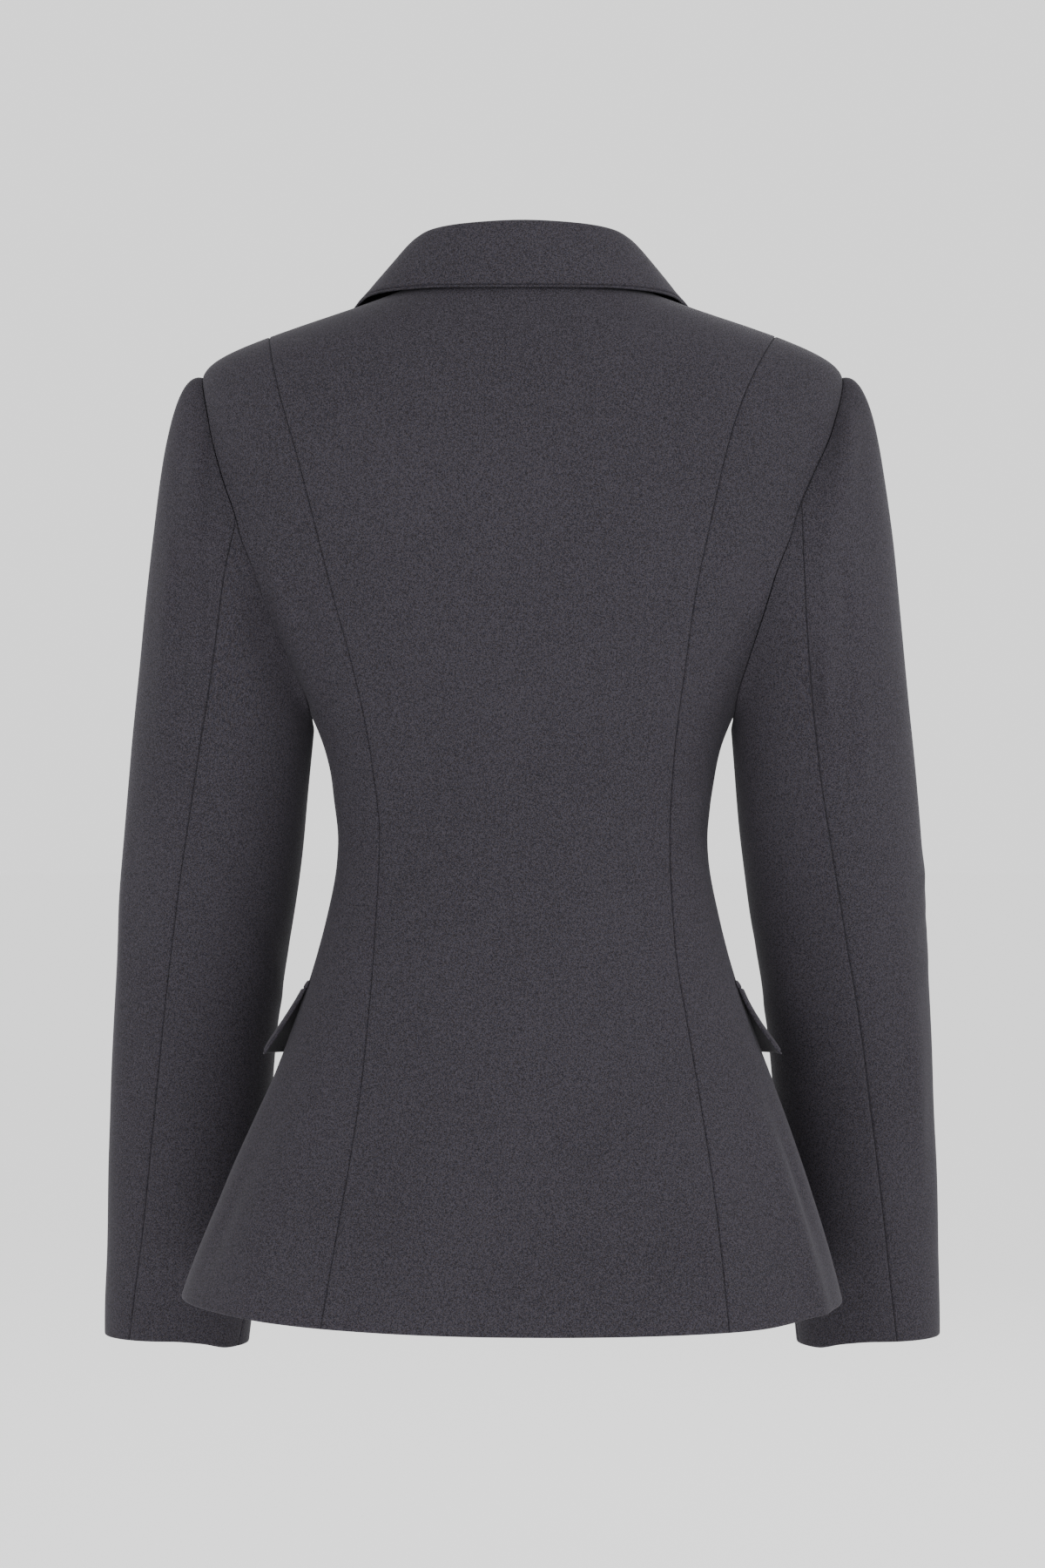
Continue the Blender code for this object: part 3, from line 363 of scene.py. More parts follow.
COLLAR_SUNK = 0.0005        # it starts this far below the neck's edge all round
COLLAR_UNEVEN = 0.7         # share of the cloth's unevenness that the collar shows
STAND_UPRIGHT = 0.6         # share of its height in which the stand keeps upright
FALL_ROUND = 0.45           # share of the fall, from its edge, where its curve is fullest
STAND_SHARE = 0.4           # share of the strip that is stand
GORGE_BEND = 0.6            # share of the fall that is sewn to the lapel
NOTCH = (0.100, -0.080)     # across and height of the notch's inner corner
NOTCH_LIFT = 0.0002         # the notch's corner lies this much above the lapel
LAPEL_FOOT_ACROSS = -0.012  # where the lapel's free edge starts, on the break's height
LAPEL_TIP = (0.122, -0.0985)
LAPEL_START = 0.018         # share of the roll line left bare at the break
LAPEL_END = 0.996           # share where the lapel stops, just short of the gorge seam
LAPEL_BELLY = 0.006         # outward curve of the lapel's edge
LAPEL_UNEVEN = 0.6          # share of the cloth's unevenness that the lapel shows
LAPEL_ROLL = 0.0030         # extra height of the lapel along its roll line
LAPEL_FOOT = 0.0027         # at the break the lapel lies this close to the front
LAPEL_TURN = 0.0032         # radius in which the lapel turns round the front's edge
LAPEL_TURN_END = 0.0010     # the turn ends this far below the front's outer face
LAPEL_TURN_SHARE = 0.12     # share of the lapel's columns that the turn takes
LAPEL_TURN_ROUND = 0.6      # share of the turn that is round, before it runs straight in

FLAP_TOP = -0.4475
FLAP_DROP = 0.0445          # height of a flap, seen from the side
FLAP_TURNS = (80.0, 134.0)  # from its back end to its front end
FLAP_SLOPE = -0.006         # the front end is this much lower
FLAP_LAY = 0.0029           # a flap's upper edge is sewn down, close to the cloth
FLAP_JUT = 0.0108           # how far its face stands off the skirt lower down
FLAP_SWEEP = {LEFT: 1.2, RIGHT: 1.7}  # 1 where it stands off evenly, more where it does so late
FLAP_CURL = 0.0016          # its lower edge turns back in by this much
FLAP_CURL_STARTS = 0.72     # share of its height at which that starts
FLAP_LENGTH = 0.130
FLAP_CORNER = 0.012         # radius of its lower corners
JET_LAY = 0.0020            # the jet is sewn down, close to the cloth
JET_THICKNESS = 0.0012
JET_HEIGHT = 0.005
JET_SPACE = 0.0003          # between a jet and the flap below it

BUTTON_HEIGHTS = (-0.315, -0.405)
BUTTON_RADIUS = 0.010
BUTTON_THICKNESS = 0.0036
BUTTON_SEAT = 0.0008        # thread shank between button and cloth
BUTTON_PLATE = BUTTON_RADIUS * 0.36  # half the side of the square plate in its middle
BUTTON_PLATE_LEVEL = BUTTON_THICKNESS * 0.63
HOLE_APART = 0.0016         # the button's four holes lie this far from its middle lines
HOLE_RADIUS = 0.0008
HOLE_SINKS = (0.00008, 0.0006, 0.0011)  # steps in which a hole goes down
THREAD_RADIUS = 0.00021
THREAD_APART = 0.0003
THREAD_FLAT = 0.42          # the thread's arches are this much of a half circle
THREAD_LEVEL = BUTTON_THICKNESS * 0.60
SHANK_RADIUS = 0.0017
SHANK_INSIDE = 0.0006       # the shank reaches this far into button and cloth together

BUTTONHOLE_ENDS = (-0.019, 0.003)  # from its inner end to the one at the shank
STITCH_APART = 0.00052      # along the slit, on each of its two sides
STITCH_OUT = 0.00078        # from the slit to the middle of a stitch
STITCH_HALVES = (0.00034, 0.00088, 0.00036)  # half its width, length and height
STITCH_LIFT = 0.00012       # the stitches' middle above the cloth
END_STITCHES = 9            # stitches round each end of the slit

# Rows of the side panels, from the shoulder seam to the hem
SEAM_HEIGHTS = (SHOULDER_SEAM_MEET, -0.034, -0.040, -0.048, -0.066, -0.09, -0.12, -0.15, -0.18,
                -0.21, -0.24, -0.27, -0.30, -0.325, -0.351, -0.377, -0.405, -0.435, -0.465, -0.50,
                -0.535, -0.57, -0.61, HEM)
LAST_ROW = len(SEAM_HEIGHTS) - 1
ARMHOLE_ROWS = 12           # the rows whose outer ends lie on the armhole
ARMHOLE_CROWD = 1.25        # crowds those ends towards the shoulder tip
SIDE_LEVELS_OFF = 4         # rows after which the side seam's ends are level with the inner ones
LEVEL_ROWS = 8              # and the front edge's with those on the princess seam
CENTRE_CROWD = 0.6          # crowds the centre back's columns towards its edges

# How a piece's edge is finished: at each distance from it, how far the outer face drops and the
# inner face rises. Where a finish changes along an edge, that edge names both and the share of its
# length at which they change.
EDGES = {
    "sewn": [(0.0, 0.00120, 0.0004), (0.0003, 0.00072, 0.0003), (0.0006, 0.00034, 0.0001),
             (0.0011, 0.00012, 0.0), (0.0018, 0.00004, 0.0), (0.0030, 0.0, 0.0)],
    "set in": [(0.0, 0.00095, 0.0004), (0.0003, 0.00058, 0.0003), (0.0006, 0.00024, 0.0001),
               (0.0011, 0.00006, 0.0), (0.0018, 0.0, 0.0), (0.0030, 0.0, 0.0)],
    "eased": [(0.0, 0.00200, 0.0002), (0.0006, 0.00150, 0.0), (0.0014, 0.00100, 0.0),
              (0.0024, 0.00050, 0.0), (0.0036, 0.00015, 0.0), (0.0050, 0.0, 0.0)],
    "folded": [(0.0, 0.00085, 0.00085), (0.00012, 0.00050, 0.00050), (0.0004, 0.00021, 0.00021),
               (0.0009, 0.00006, 0.00006), (0.0016, 0.0, 0.0), (0.0028, 0.0, 0.0)],
    "doubled": [(0.0, 0.00110, 0.00055), (0.0003, 0.00058, 0.0003), (0.0007, 0.00040, 0.00010),
                (0.0012, 0.00048, 0.0), (0.0015, 0.00150, 0.0), (0.0019, 0.00150, 0.0),
                (0.0022, 0.00048, 0.0), (0.0027, 0.00012, 0.0), (0.0038, 0.0, 0.0)],
}
CHANGE_LENGTH = 0.03        # share of an edge over which one finish turns into the other
PIECE_SIDES = ((0, False), (0, True), (1, False), (1, True))  # first and last row, then column

# Creases and soft swells, listed one by one. The body's run between three places given by height and
# turn from centre back, negative on the wearer's right. Depth below zero is a trough.
BODY_CREASES = [
    # height, turn at the start, the middle and the end, width, depth
    (-0.140, 43.0, -0.200, 46.0, -0.268, 70.0, 0.009, 0.0025),
    (-0.125, 49.0, -0.180, 38.0, -0.250, 50.0, 0.007, -0.0015),
    (-0.105, -37.5, -0.168, -33.0, -0.245, -42.0, 0.011, 0.0020),
    (-0.150, -44.0, -0.200, -42.0, -0.258, -58.0, 0.008, -0.0014),
    (-0.288, 38.0, -0.318, 20.0, -0.326, -6.0, 0.010, 0.0005),
    (-0.338, -42.0, -0.352, -20.0, -0.348, 5.0, 0.011, 0.0005),
    (-0.366, 44.0, -0.376, 22.0, -0.372, 2.0, 0.009, -0.0005),
    (-0.300, 92.0, -0.332, 76.0, -0.346, 58.0, 0.009, -0.0006),
    (-0.318, -94.0, -0.344, -78.0, -0.350, -60.0, 0.009, -0.0006),
    (-0.490, -30.0, -0.570, -33.0, -0.647, -36.0, 0.017, 0.0015),
    (-0.510, 18.0, -0.580, 20.0, -0.647, 22.0, 0.020, 0.0014),
    (-0.500, 68.0, -0.575, 70.0, -0.647, 71.0, 0.013, -0.0018),
    (-0.495, -71.0, -0.570, -74.0, -0.647, -77.0, 0.010, -0.0024),
    (-0.510, -50.0, -0.580, -52.0, -0.647, -54.0, 0.013, -0.0017),
    (-0.530, 96.0, -0.590, 98.0, -0.647, 100.0, 0.016, 0.0012),
    (-0.520, -98.0, -0.590, -101.0, -0.647, -103.0, 0.018, 0.0012),
    (-0.540, 128.0, -0.600, 130.0, -0.647, 131.0, 0.017, 0.0010),
    (-0.530, -133.0, -0.600, -135.0, -0.647, -136.0, 0.016, 0.0009),
    (-0.312, 172.0, -0.300, 150.0, -0.272, 128.0, 0.007, -0.0007),
    (-0.318, 168.0, -0.330, 146.0, -0.334, 120.0, 0.008, 0.0006),
    (-0.316, -168.0, -0.306, -148.0, -0.282, -126.0, 0.008, -0.0007),
    (-0.402, 170.0, -0.392, 152.0, -0.376, 132.0, 0.008, 0.0006),
    (-0.404, -169.0, -0.398, -150.0, -0.384, -128.0, 0.007, -0.0006),
    (-0.100, 112.0, -0.150, 122.0, -0.205, 118.0, 0.009, -0.0009),
    (-0.105, -114.0, -0.158, -123.0, -0.212, -117.0, 0.009, -0.0008),
    (-0.045, -30.0, -0.062, -15.0, -0.066, 6.0, 0.014, -0.0004),
]

# The sleeves' creases, by side, along (1 at the top ring and 2 at the cuff) and turn round.
SLEEVE_CREASES = [
    # side, along, turn at the start, the middle and the end, width, depth
    (1, 0.05, 34.0, 0.36, 72.0, 0.95, 76.0, 0.007, 0.0034),
    (1, 0.08, 60.0, 0.42, 86.0, 0.92, 84.0, 0.005, -0.0014),
    (1, 0.20, 50.0, 0.50, 60.0, 1.05, 60.0, 0.008, -0.0014),
    (1, 1.08, 24.0, 1.40, 30.0, 1.78, 26.0, 0.013, 0.0016),
    (1, 1.26, 112.0, 1.34, 145.0, 1.36, 184.0, 0.008, -0.0012),
    (1, 1.33, 120.0, 1.41, 152.0, 1.45, 196.0, 0.009, 0.0010),
    (1, 1.42, 205.0, 1.40, 240.0, 1.33, 268.0, 0.008, -0.0015),
    (1, 1.48, 210.0, 1.50, 242.0, 1.44, 272.0, 0.010, 0.0011),
    (1, 1.30, 214.0, 1.27, 246.0, 1.20, 276.0, 0.009, 0.0010),
    (1, 1.62, 60.0, 1.70, 90.0, 1.72, 118.0, 0.012, 0.0006),
    (1, 0.40, 280.0, 0.80, 292.0, 1.20, 288.0, 0.012, 0.0010),
    (1, 0.55, 150.0, 0.85, 165.0, 1.15, 160.0, 0.009, -0.0008),
    (1, 1.75, -20.0, 1.88, -14.0, 2.00, -18.0, 0.014, 0.0006),
    (-1, 0.12, 22.0, 0.20, 62.0, 0.38, 82.0, 0.008, 0.0040),
    (-1, 0.32, 80.0, 0.62, 96.0, 1.02, 89.0, 0.007, 0.0030),
    (-1, 0.14, 72.0, 0.70, 104.0, 1.14, 95.0, 0.006, -0.0013),
    (-1, 0.30, 66.0, 0.70, 78.0, 1.00, 76.0, 0.007, -0.0014),
    (-1, 0.84, 69.0, 0.98, 67.0, 1.10, 71.0, 0.006, 0.0015),
    (-1, 1.20, 52.0, 1.48, 43.0, 1.80, 40.0, 0.011, 0.0018),
    (-1, 1.18, -8.0, 1.25, 14.0, 1.27, 40.0, 0.008, 0.0007),
    (-1, 1.25, -14.0, 1.31, 8.0, 1.33, 34.0, 0.008, -0.0006),
    (-1, 1.33, -6.0, 1.38, 16.0, 1.40, 36.0, 0.009, 0.0005),
    (-1, 1.24, 110.0, 1.33, 148.0, 1.34, 188.0, 0.009, -0.0011),
    (-1, 1.36, 116.0, 1.43, 150.0, 1.46, 192.0, 0.009, 0.0009),
    (-1, 1.40, 208.0, 1.38, 238.0, 1.31, 266.0, 0.008, -0.0014),
    (-1, 1.47, 206.0, 1.49, 240.0, 1.42, 270.0, 0.010, 0.0011),
    (-1, 1.66, 20.0, 1.80, 26.0, 2.00, 22.0, 0.013, 0.0007),
    (-1, 0.45, 284.0, 0.82, 290.0, 1.22, 284.0, 0.012, 0.0009),
]


# The body's surface
def skirt_fold_rise(height, turn):
    total = np.zeros(np.broadcast(height, turn).shape)
    for side, top, bottom, top_turn, bottom_turn, spread, rise in SKIRT_FOLDS:
        down = (top - height) / (top - bottom)
        ridge = mix(top_turn, bottom_turn, down)
        full = ease(down / SKIRT_FOLD_GROWS)
        total = total + rise * full * np.exp(-((turn * side - ridge) / spread) ** 2)
    return total


def body(height, turn):
    """The outer cloth. turn is 0 at centre back, 90 at the side and 180 at centre front. It is
    negative on the wearer's right, and past 180 beyond the middle of the front."""
    angle = np.radians(turn)
    sine = np.sin(angle)
    cosine = np.cos(angle)
    behind = cosine >= 0
    lean = SKIRT_LEAN * np.clip((SKIRT_LEAN_TOP - height) / (SKIRT_LEAN_TOP - HEM), 0, None)
    half_width = BODY.read("half_width", height) + lean * np.sign(sine)
    middle = BODY.read("middle", height)
    back = BODY.read("back_depth", height) - middle
    front = BODY.read("front_depth", height) + middle
    depth = np.where(behind, back, front)
    roundness = np.where(behind, BODY.read("back_round", height), BODY.read("front_round", height))
    x = half_width * power(sine, 2 / roundness)
    y = depth * power(cosine, 2 / roundness)
    outward = unit(points(x / half_width ** 2, y / depth ** 2, np.zeros_like(x)))
    level = height + HEM_LINE.read("rise", turn) * ease((HEM_LINE_TOP - height) / (HEM_LINE_TOP - HEM))
    return points(x, y + middle, level) + outward * skirt_fold_rise(height, turn)[..., None]


def body_outward(height, turn):
    across = body(height, turn + TURN_STEP) - body(height, turn - TURN_STEP)
    down = body(height - HEIGHT_STEP, turn) - body(height + HEIGHT_STEP, turn)
    return unit(np.cross(across, down))


def turn_at(height, across, in_front):
    """The turn, on the wearer's left, of a place given by its distance from the middle."""
    roundness = BODY.read("front_round" if in_front else "back_round", height)
    share = np.clip(across / BODY.read("half_width", height), -1, 1)
    turn = np.degrees(np.arcsin(power(share, roundness / 2)))
    return 180 - turn if in_front else turn


def on_front(across, height, out):
    turn = turn_at(height, across, True)
    return body(height, turn) + body_outward(height, turn) * np.asarray(out)[..., None]


# Seams, as height and turn
def princess(row, side, in_front):
    height = np.interp(row, range(LAST_ROW + 1), SEAM_HEIGHTS)
    column = "front" if in_front else "back_left" if side == LEFT else "back_right"
    return height, turn_at(height, PRINCESS.read(column, height), in_front)


def side_edge(row, side, in_front):
    """The armhole down to the underarm, and the side seam below it."""
    share = np.clip(row / ARMHOLE_ROWS, 0, 1) ** ARMHOLE_CROWD
    arm_turn = ARMHOLE.read("front" if in_front else "back_" + SIDE_NAMES[side], share)
    height_below = np.interp(row, range(LAST_ROW + 1), SEAM_HEIGHTS)
    offset = UNDERARM - SEAM_HEIGHTS[ARMHOLE_ROWS]
    level = height_below + offset * np.clip(1 - (row - ARMHOLE_ROWS) / SIDE_LEVELS_OFF, 0, 1)
    in_armhole = row <= ARMHOLE_ROWS
    return (np.where(in_armhole, ARMHOLE.read("height", share), level),
            np.where(in_armhole, arm_turn, 90.0))


def centre_back_turn(height, share):
    """The turn of a place on the centre back, whose share is -1 at its right edge and 1 at its left.
    Above the princess seams that edge is the shoulder seam."""
    seam = np.where(share > 0, PRINCESS.read("back_left", height), PRINCESS.read("back_right", height))
    seam = np.where(height >= SHOULDER_SEAM_MEET, BODY.read("half_width", height), seam)
    crowded = mix(share, np.sin(share * math.pi / 2), CENTRE_CROWD)
    return turn_at(height, seam * crowded, False)


def front_edge(row):
    """The neck seam, roll line and front edge. Its rows level off with the princess seam's."""
    height = np.interp(row, range(LAST_ROW + 1), SEAM_HEIGHTS)
    height = height - SHOULDER_SEAM_MEET * np.clip(1 - row / LEVEL_ROWS, 0, 1)
    turn = turn_at(height, FRONT_EDGE.read("across", height), True)
    return height, np.where(row <= 0, 90.0, turn)


# Folds of the cloth
CREASE_REACH = 2.6          # a crease is felt this many widths away
CREASE_POINTS = 25
CREASE_UNEVEN = 0.28        # share by which its depth varies along it
CREASE_NARROWS = 0.75       # share of its width where it is narrowest
CREASE_WIDENS = 0.4         # and how much of its width comes and goes
PUCKER = 0.00010            # a seam draws its cloth in and out by this much
PUCKER_REACH = 0.005


def crease_rise(places, creases):
    """How far the cloth stands out at each place, for creases given as fine lines in space with a
    width and a depth. Each one swells and fades unevenly along its length."""
    total = np.zeros(places.shape[:-1])
    for number, (line, width, depth) in enumerate(creases):
        reach = CREASE_REACH * width
        near = np.all((places > line.min(axis=0) - reach) & (places < line.max(axis=0) + reach), axis=-1)
        if not near.any():
            continue
        spot = places[near][:, None, :]
        start, step = line[:-1], np.diff(line, axis=0)
        along = np.clip(((spot - start) * step).sum(-1) / (step ** 2).sum(-1), 0, 1)
        away = np.linalg.norm(spot - start - along[..., None] * step, axis=-1)
        closest = away.argmin(axis=1)
        take = np.arange(len(closest))
        share = (closest + along[take, closest]) / len(step)
        fade = np.sin(math.pi * np.clip(share, 0, 1)) ** 0.8
        uneven = 1 + CREASE_UNEVEN * np.sin(7.3 * share + number * 1.9)
        swell = np.sin(math.pi * share + number * 0.7) ** 2
        wide = width * (CREASE_NARROWS + CREASE_WIDENS * swell)
        total[near] += depth * fade * uneven * np.exp(-(away[take, closest] / wide) ** 2)
    return total


def crease_line(surface, start, middle, end, scale):
    """A fine line through space, for a crease whose three places are numbers that surface takes."""
    share = np.linspace(0, 1, CREASE_POINTS)[:, None]
    start, middle, end = (np.array(place) for place in (start, middle, end))
    way = start * (1 - share) ** 2 + 2 * middle * share * (1 - share) + end * share ** 2
    return surface(way[:, 0], way[:, 1]) * scale


BODY_LINES = [(crease_line(body, row[0:2], row[2:4], row[4:6], 1.0), row[6], row[7])
              for row in BODY_CREASES]


def sleeve_creases(side):
    def surface(along, around):
        return smooth_sleeve(around, along, side)
    return [(crease_line(surface, row[1:3], row[3:5], row[5:7], np.array([side, 1, 1])), row[7], row[8])
            for row in SLEEVE_CREASES if row[0] == side]


def waver(places):
    """The slight unevenness that any hung cloth has: three sets of crossed waves, each less than a
    third of a millimetre high."""
    x, y, z = np.moveaxis(places, -1, 0)
    return (0.00022 * np.sin(x / 0.021 + 1.7 * np.sin(z / 0.043)) * np.sin(z / 0.034 + y / 0.027)
            + 0.00016 * np.sin(z / 0.017 + x / 0.031 + 0.6) * np.sin(y / 0.019 + x / 0.040)
            + 0.00030 * np.sin(z / 0.061 + 2.1 * np.sin(x / 0.083)) * np.cos(x / 0.047 + y / 0.060))


# Fine grids
def distance_from(places, axis, from_end):
    """The way along the cloth from its first or last row (axis 0) or column (axis 1)."""
    steps = np.linalg.norm(np.diff(places, axis=axis), axis=-1)
    if from_end:
        steps = np.flip(steps, axis)
    start = np.zeros_like(np.take(steps, [0], axis))
    along = np.concatenate([start, np.cumsum(steps, axis=axis)], axis=axis)
    return np.flip(along, axis) if from_end else along


def spacing(length, count, first, last):
    """Distances from one edge of a piece to the other: close together at each edge's finish."""
    first = np.array([row[0] for row in EDGES[first]])
    last = np.array([row[0] for row in EDGES[last]])
    length = np.asarray(length, dtype=float)[..., None]
    shrink = np.minimum(1, EDGES_MOST * length / max(first[-1], last[-1]))
    between = np.linspace(0, 1, count + 1)[1:-1]
    start = first * shrink
    end = length - last[::-1] * shrink
    middle = mix(start[..., -1:], end[..., :1], between)
    return np.concatenate([start, middle, end], axis=-1)


def kind_at_start(kind):
    return kind if isinstance(kind, str) else kind[0]


def fine_grid(surface, row_ends, edges, step=STEP):
    """Row and column numbers of a fine grid. surface takes rows and column shares from 0 to 1, and
    edges gives the finish of the first and last row, and of the first and last column."""
    first_row, last_row, first_column, last_column = [kind_at_start(kind) for kind in edges]
    rows = np.linspace(*row_ends, ROW_SAMPLES)
    row, share = np.meshgrid(rows, np.linspace(0, 1, FEW_COLUMNS), indexing="ij")
    lengths = distance_from(surface(row, share), 0, False).max(axis=1)
    count = max(2, round(lengths[-1] / step))
    rows = np.interp(spacing(lengths[-1], count, first_row, last_row), lengths, rows)
    row, share = np.meshgrid(rows, np.linspace(0, 1, COLUMN_SAMPLES), indexing="ij")
    lengths = distance_from(surface(row, share), 1, False)
    count = max(2, round(lengths[:, -1].max() / step))
    wanted = spacing(lengths[:, -1], count, first_column, last_column)
    shares = np.stack([np.interp(wanted[i], lengths[i], share[i]) for i in range(len(rows))])
    return np.broadcast_to(rows[:, None], shares.shape), shares


def edge_profile(kind, away):
    """The outer face's drop and the inner face's rise at a distance from an edge."""
    distance, *moves = np.array(EDGES[kind]).T
    return np.array([np.interp(away, distance, move) for move in moves])


def edge_finish(places, edges):
    """How far the outer face drops and the inner face rises near the edges."""
    moves = np.zeros((2, *places.shape[:-1]))
    for kind, (axis, from_end) in zip(edges, PIECE_SIDES):
        away = distance_from(places, axis, from_end)
        if isinstance(kind, str):
            here = edge_profile(kind, away)
        else:
            first, second, change = kind
            along = np.expand_dims(np.linspace(0, 1, places.shape[1 - axis]), axis)
            past = ease((along - change) / CHANGE_LENGTH + 0.5)
            here = mix(edge_profile(first, away), edge_profile(second, away), past)
        moves = np.maximum(moves, here)
    return moves


def pucker(places, edges):
    """Cloth draws in and out very slightly along a seam."""
    total = np.zeros(places.shape[:-1])
    for kind, (axis, from_end) in zip(edges, PIECE_SIDES):
        if kind_at_start(kind) == "sewn":
            away = distance_from(places, axis, from_end)
            down = distance_from(places, 1 - axis, False)
            wave = np.sin(down / 0.0031 + 2.2 * np.sin(down / 0.0190)) * np.sin(down / 0.0270 + 1)
            total += PUCKER * wave * np.exp(-(away / PUCKER_REACH) ** 2)
    return total


def cloth(name, outer, outward, edges, thickness=WALL):
    """A closed wall of cloth on a grid of outer places, with its edges finished."""
    outer = outer + outward * pucker(outer, edges)[..., None]
    drop, rise = edge_finish(outer, edges) * thickness / WALL
    down = distance_from(outer, 0, False).mean(axis=1, keepdims=True)
    over = distance_from(outer, 1, False)
    over = over - over[:, over.shape[1] // 2][:, None]
    flat = np.stack(np.broadcast_arrays(over, -down), axis=-1)
    outer_face = outer - outward * drop[..., None]
    inner_face = outer - outward * (thickness - rise)[..., None]
    rows, columns = outer.shape[0] - 1, outer.shape[1] - 1

    mesh = bmesh.new()
    bmesh.ops.create_grid(mesh, x_segments=columns, y_segments=rows, size=1.0)
    raised = bmesh.ops.extrude_face_region(mesh, geom=mesh.faces[:])["geom"]
    raised = [item for item in raised if isinstance(item, bmesh.types.BMVert)]
    bmesh.ops.translate(mesh, verts=raised, vec=(0, 0, 1))
    bmesh.ops.recalc_face_normals(mesh, faces=mesh.faces)
    data = bpy.data.meshes.new(name)
    mesh.to_mesh(data)
    mesh.free()

    at = np.empty(len(data.vertices) * 3, dtype=np.float32)
    data.vertices.foreach_get("co", at)
    at = at.reshape(-1, 3)
    row = np.rint((at[:, 1] + 1) / 2 * rows).astype(int)
    column = np.rint((at[:, 0] + 1) / 2 * columns).astype(int)
    top = at[:, 2] > 0.5
    at[top] = outer_face[row[top], column[top]]
    at[~top] = inner_face[row[~top], column[~top]]
    data.vertices.foreach_set("co", at.reshape(-1))
    corner = np.empty(len(data.loops), dtype=np.int32)
    data.loops.foreach_get("vertex_index", corner)
    data.uv_layers.new(name="cloth").data.foreach_set(
        "uv", flat[row[corner], column[corner]].astype(np.float32).reshape(-1))
    data.update()
    return piece(name, data)


def add(name, data):
    made = bpy.data.objects.new(name, data)
    bpy.context.scene.collection.objects.link(made)
    return made


def piece(name, data):
    data.shade_smooth()
    return add("shown_" + name, data)


def put_outside_out(made):
    """Turns the faces outward again after a shape is laid out the other way round."""
    mesh = bmesh.new()
    mesh.from_mesh(made.data)
    bmesh.ops.recalc_face_normals(mesh, faces=mesh.faces)
    mesh.to_mesh(made.data)
    mesh.free()


# The body's pieces
def body_piece(name, place, row_ends, edges, out=None):
    """place gives height and turn for a row and a column share."""
    def surface(row, share):
        return body(*place(row, share))
    row, share = fine_grid(surface, row_ends, edges)
    height, turn = place(row, share)
    outward = body_outward(height, turn)
    outer = body(height, turn)
    lift = crease_rise(outer, BODY_LINES) + waver(outer)
    if out is not None:
        lift = lift + out(outer[..., 0], height)
    return cloth(name, outer + outward * lift[..., None], outward, edges)


def make_centre_back():
    def place(row, share):
        return row, centre_back_turn(row, share * 2 - 1)
    return body_piece("centre_back", place, (0.0, HEM), ("folded", "folded", "sewn", "sewn"))


def make_side_panel(side, in_front):
    def place(row, share):
        inner_height, inner_turn = princess(row, side, in_front)
        outer_height, outer_turn = side_edge(row, side, in_front)
        return mix(inner_height, outer_height, share), mix(inner_turn, outer_turn, share) * side
    name = ("side_front_" if in_front else "side_back_") + SIDE_NAMES[side]
    return body_piece(name, place, (0, LAST_ROW), ("sewn", "folded", "sewn", ("set in", "sewn", 0.40)))


def lap_lift(across, height, side):
    """The right front lies over the left one where they pass the middle, and over the foot of the
    left lapel too where that lapel starts to turn."""
    if side == LEFT:
        return np.zeros_like(across)
    over_lapel = (ease((height - LAP_DOUBLE[0]) / LAP_DOUBLE_ENDS[0])
                  * ease((LAP_DOUBLE[1] - height) / LAP_DOUBLE_ENDS[1]))
    return LAY * ease((LAP_REACH - across) / LAP_SLOPE) * (1 + LAP_DOUBLE_RISE * over_lapel)


def make_front(side):
    def place(row, share):
        outer_height, outer_turn = princess(row, side, True)
        inner_height, inner_turn = front_edge(row)
        return mix(outer_height, inner_height, share), mix(outer_turn, inner_turn, share) * side

    def out(x, height):
        return lap_lift(x * side, height, side)
    return body_piece("front_" + SIDE_NAMES[side], place, (0, LAST_ROW),
                      ("sewn", "folded", "sewn", "folded"), out)


# Lapels, laid on the fronts from the roll line outwards and turned round the fronts' edges
def lapel_place(roll, out):
    """Across and height of a lapel's point: roll is 0 at the break and 1 at the gorge, out is 0 at
    the roll line and 1 at the free edge."""
    inner_height = mix(BREAK, GORGE_TOP, roll)
    inner_across = FRONT_EDGE.read("across", inner_height)
    belly = LAPEL_BELLY * np.sin(math.pi * roll)
    edge_across = mix(LAPEL_FOOT_ACROSS, LAPEL_TIP[0], roll) + belly
    edge_height = mix(BREAK, LAPEL_TIP[1], roll) - belly * 0.3
    return mix(inner_across, edge_across, out), mix(inner_height, edge_height, out)


def lapel_points(roll, share, side):
    """A lapel's outer face and the way it faces, from where it turns round the front's edge (0) to
    its own free edge (1)."""
    out = (share - LAPEL_TURN_SHARE) / (1 - LAPEL_TURN_SHARE)
    turned = np.clip(1 - share / LAPEL_TURN_SHARE, 0, 1)
    laid = np.maximum(out, 0)
    across, height = lapel_place(roll, laid)
    turn = turn_at(height, across, True)
    above = mix(LAPEL_FOOT, LAY, ease(roll * 8)) + LAPEL_ROLL * (1 - laid) ** 2 * ease(roll * 2.2)
    outward = body_outward(height, turn * side)
    place = body(height, turn * side) + outward * (above + lap_lift(across, height, side))[..., None]

    next_across, next_height = lapel_place(roll + 0.01, laid)
    along = body(next_height, turn_at(next_height, next_across, True) * side) - body(height, turn * side)
    inward = unit(np.cross(outward, along)) * side
    angle = np.clip(turned / LAPEL_TURN_ROUND, 0, 1)[..., None] * math.pi / 2
    straight = np.clip((turned - LAPEL_TURN_ROUND) / (1 - LAPEL_TURN_ROUND), 0, 1) * (
        above + LAPEL_TURN_END - LAPEL_TURN)
    place = place + inward * LAPEL_TURN * np.sin(angle)
    place = place - outward * (LAPEL_TURN * (1 - np.cos(angle)) + straight[..., None])
    return place, outward * np.cos(angle) + inward * np.sin(angle)


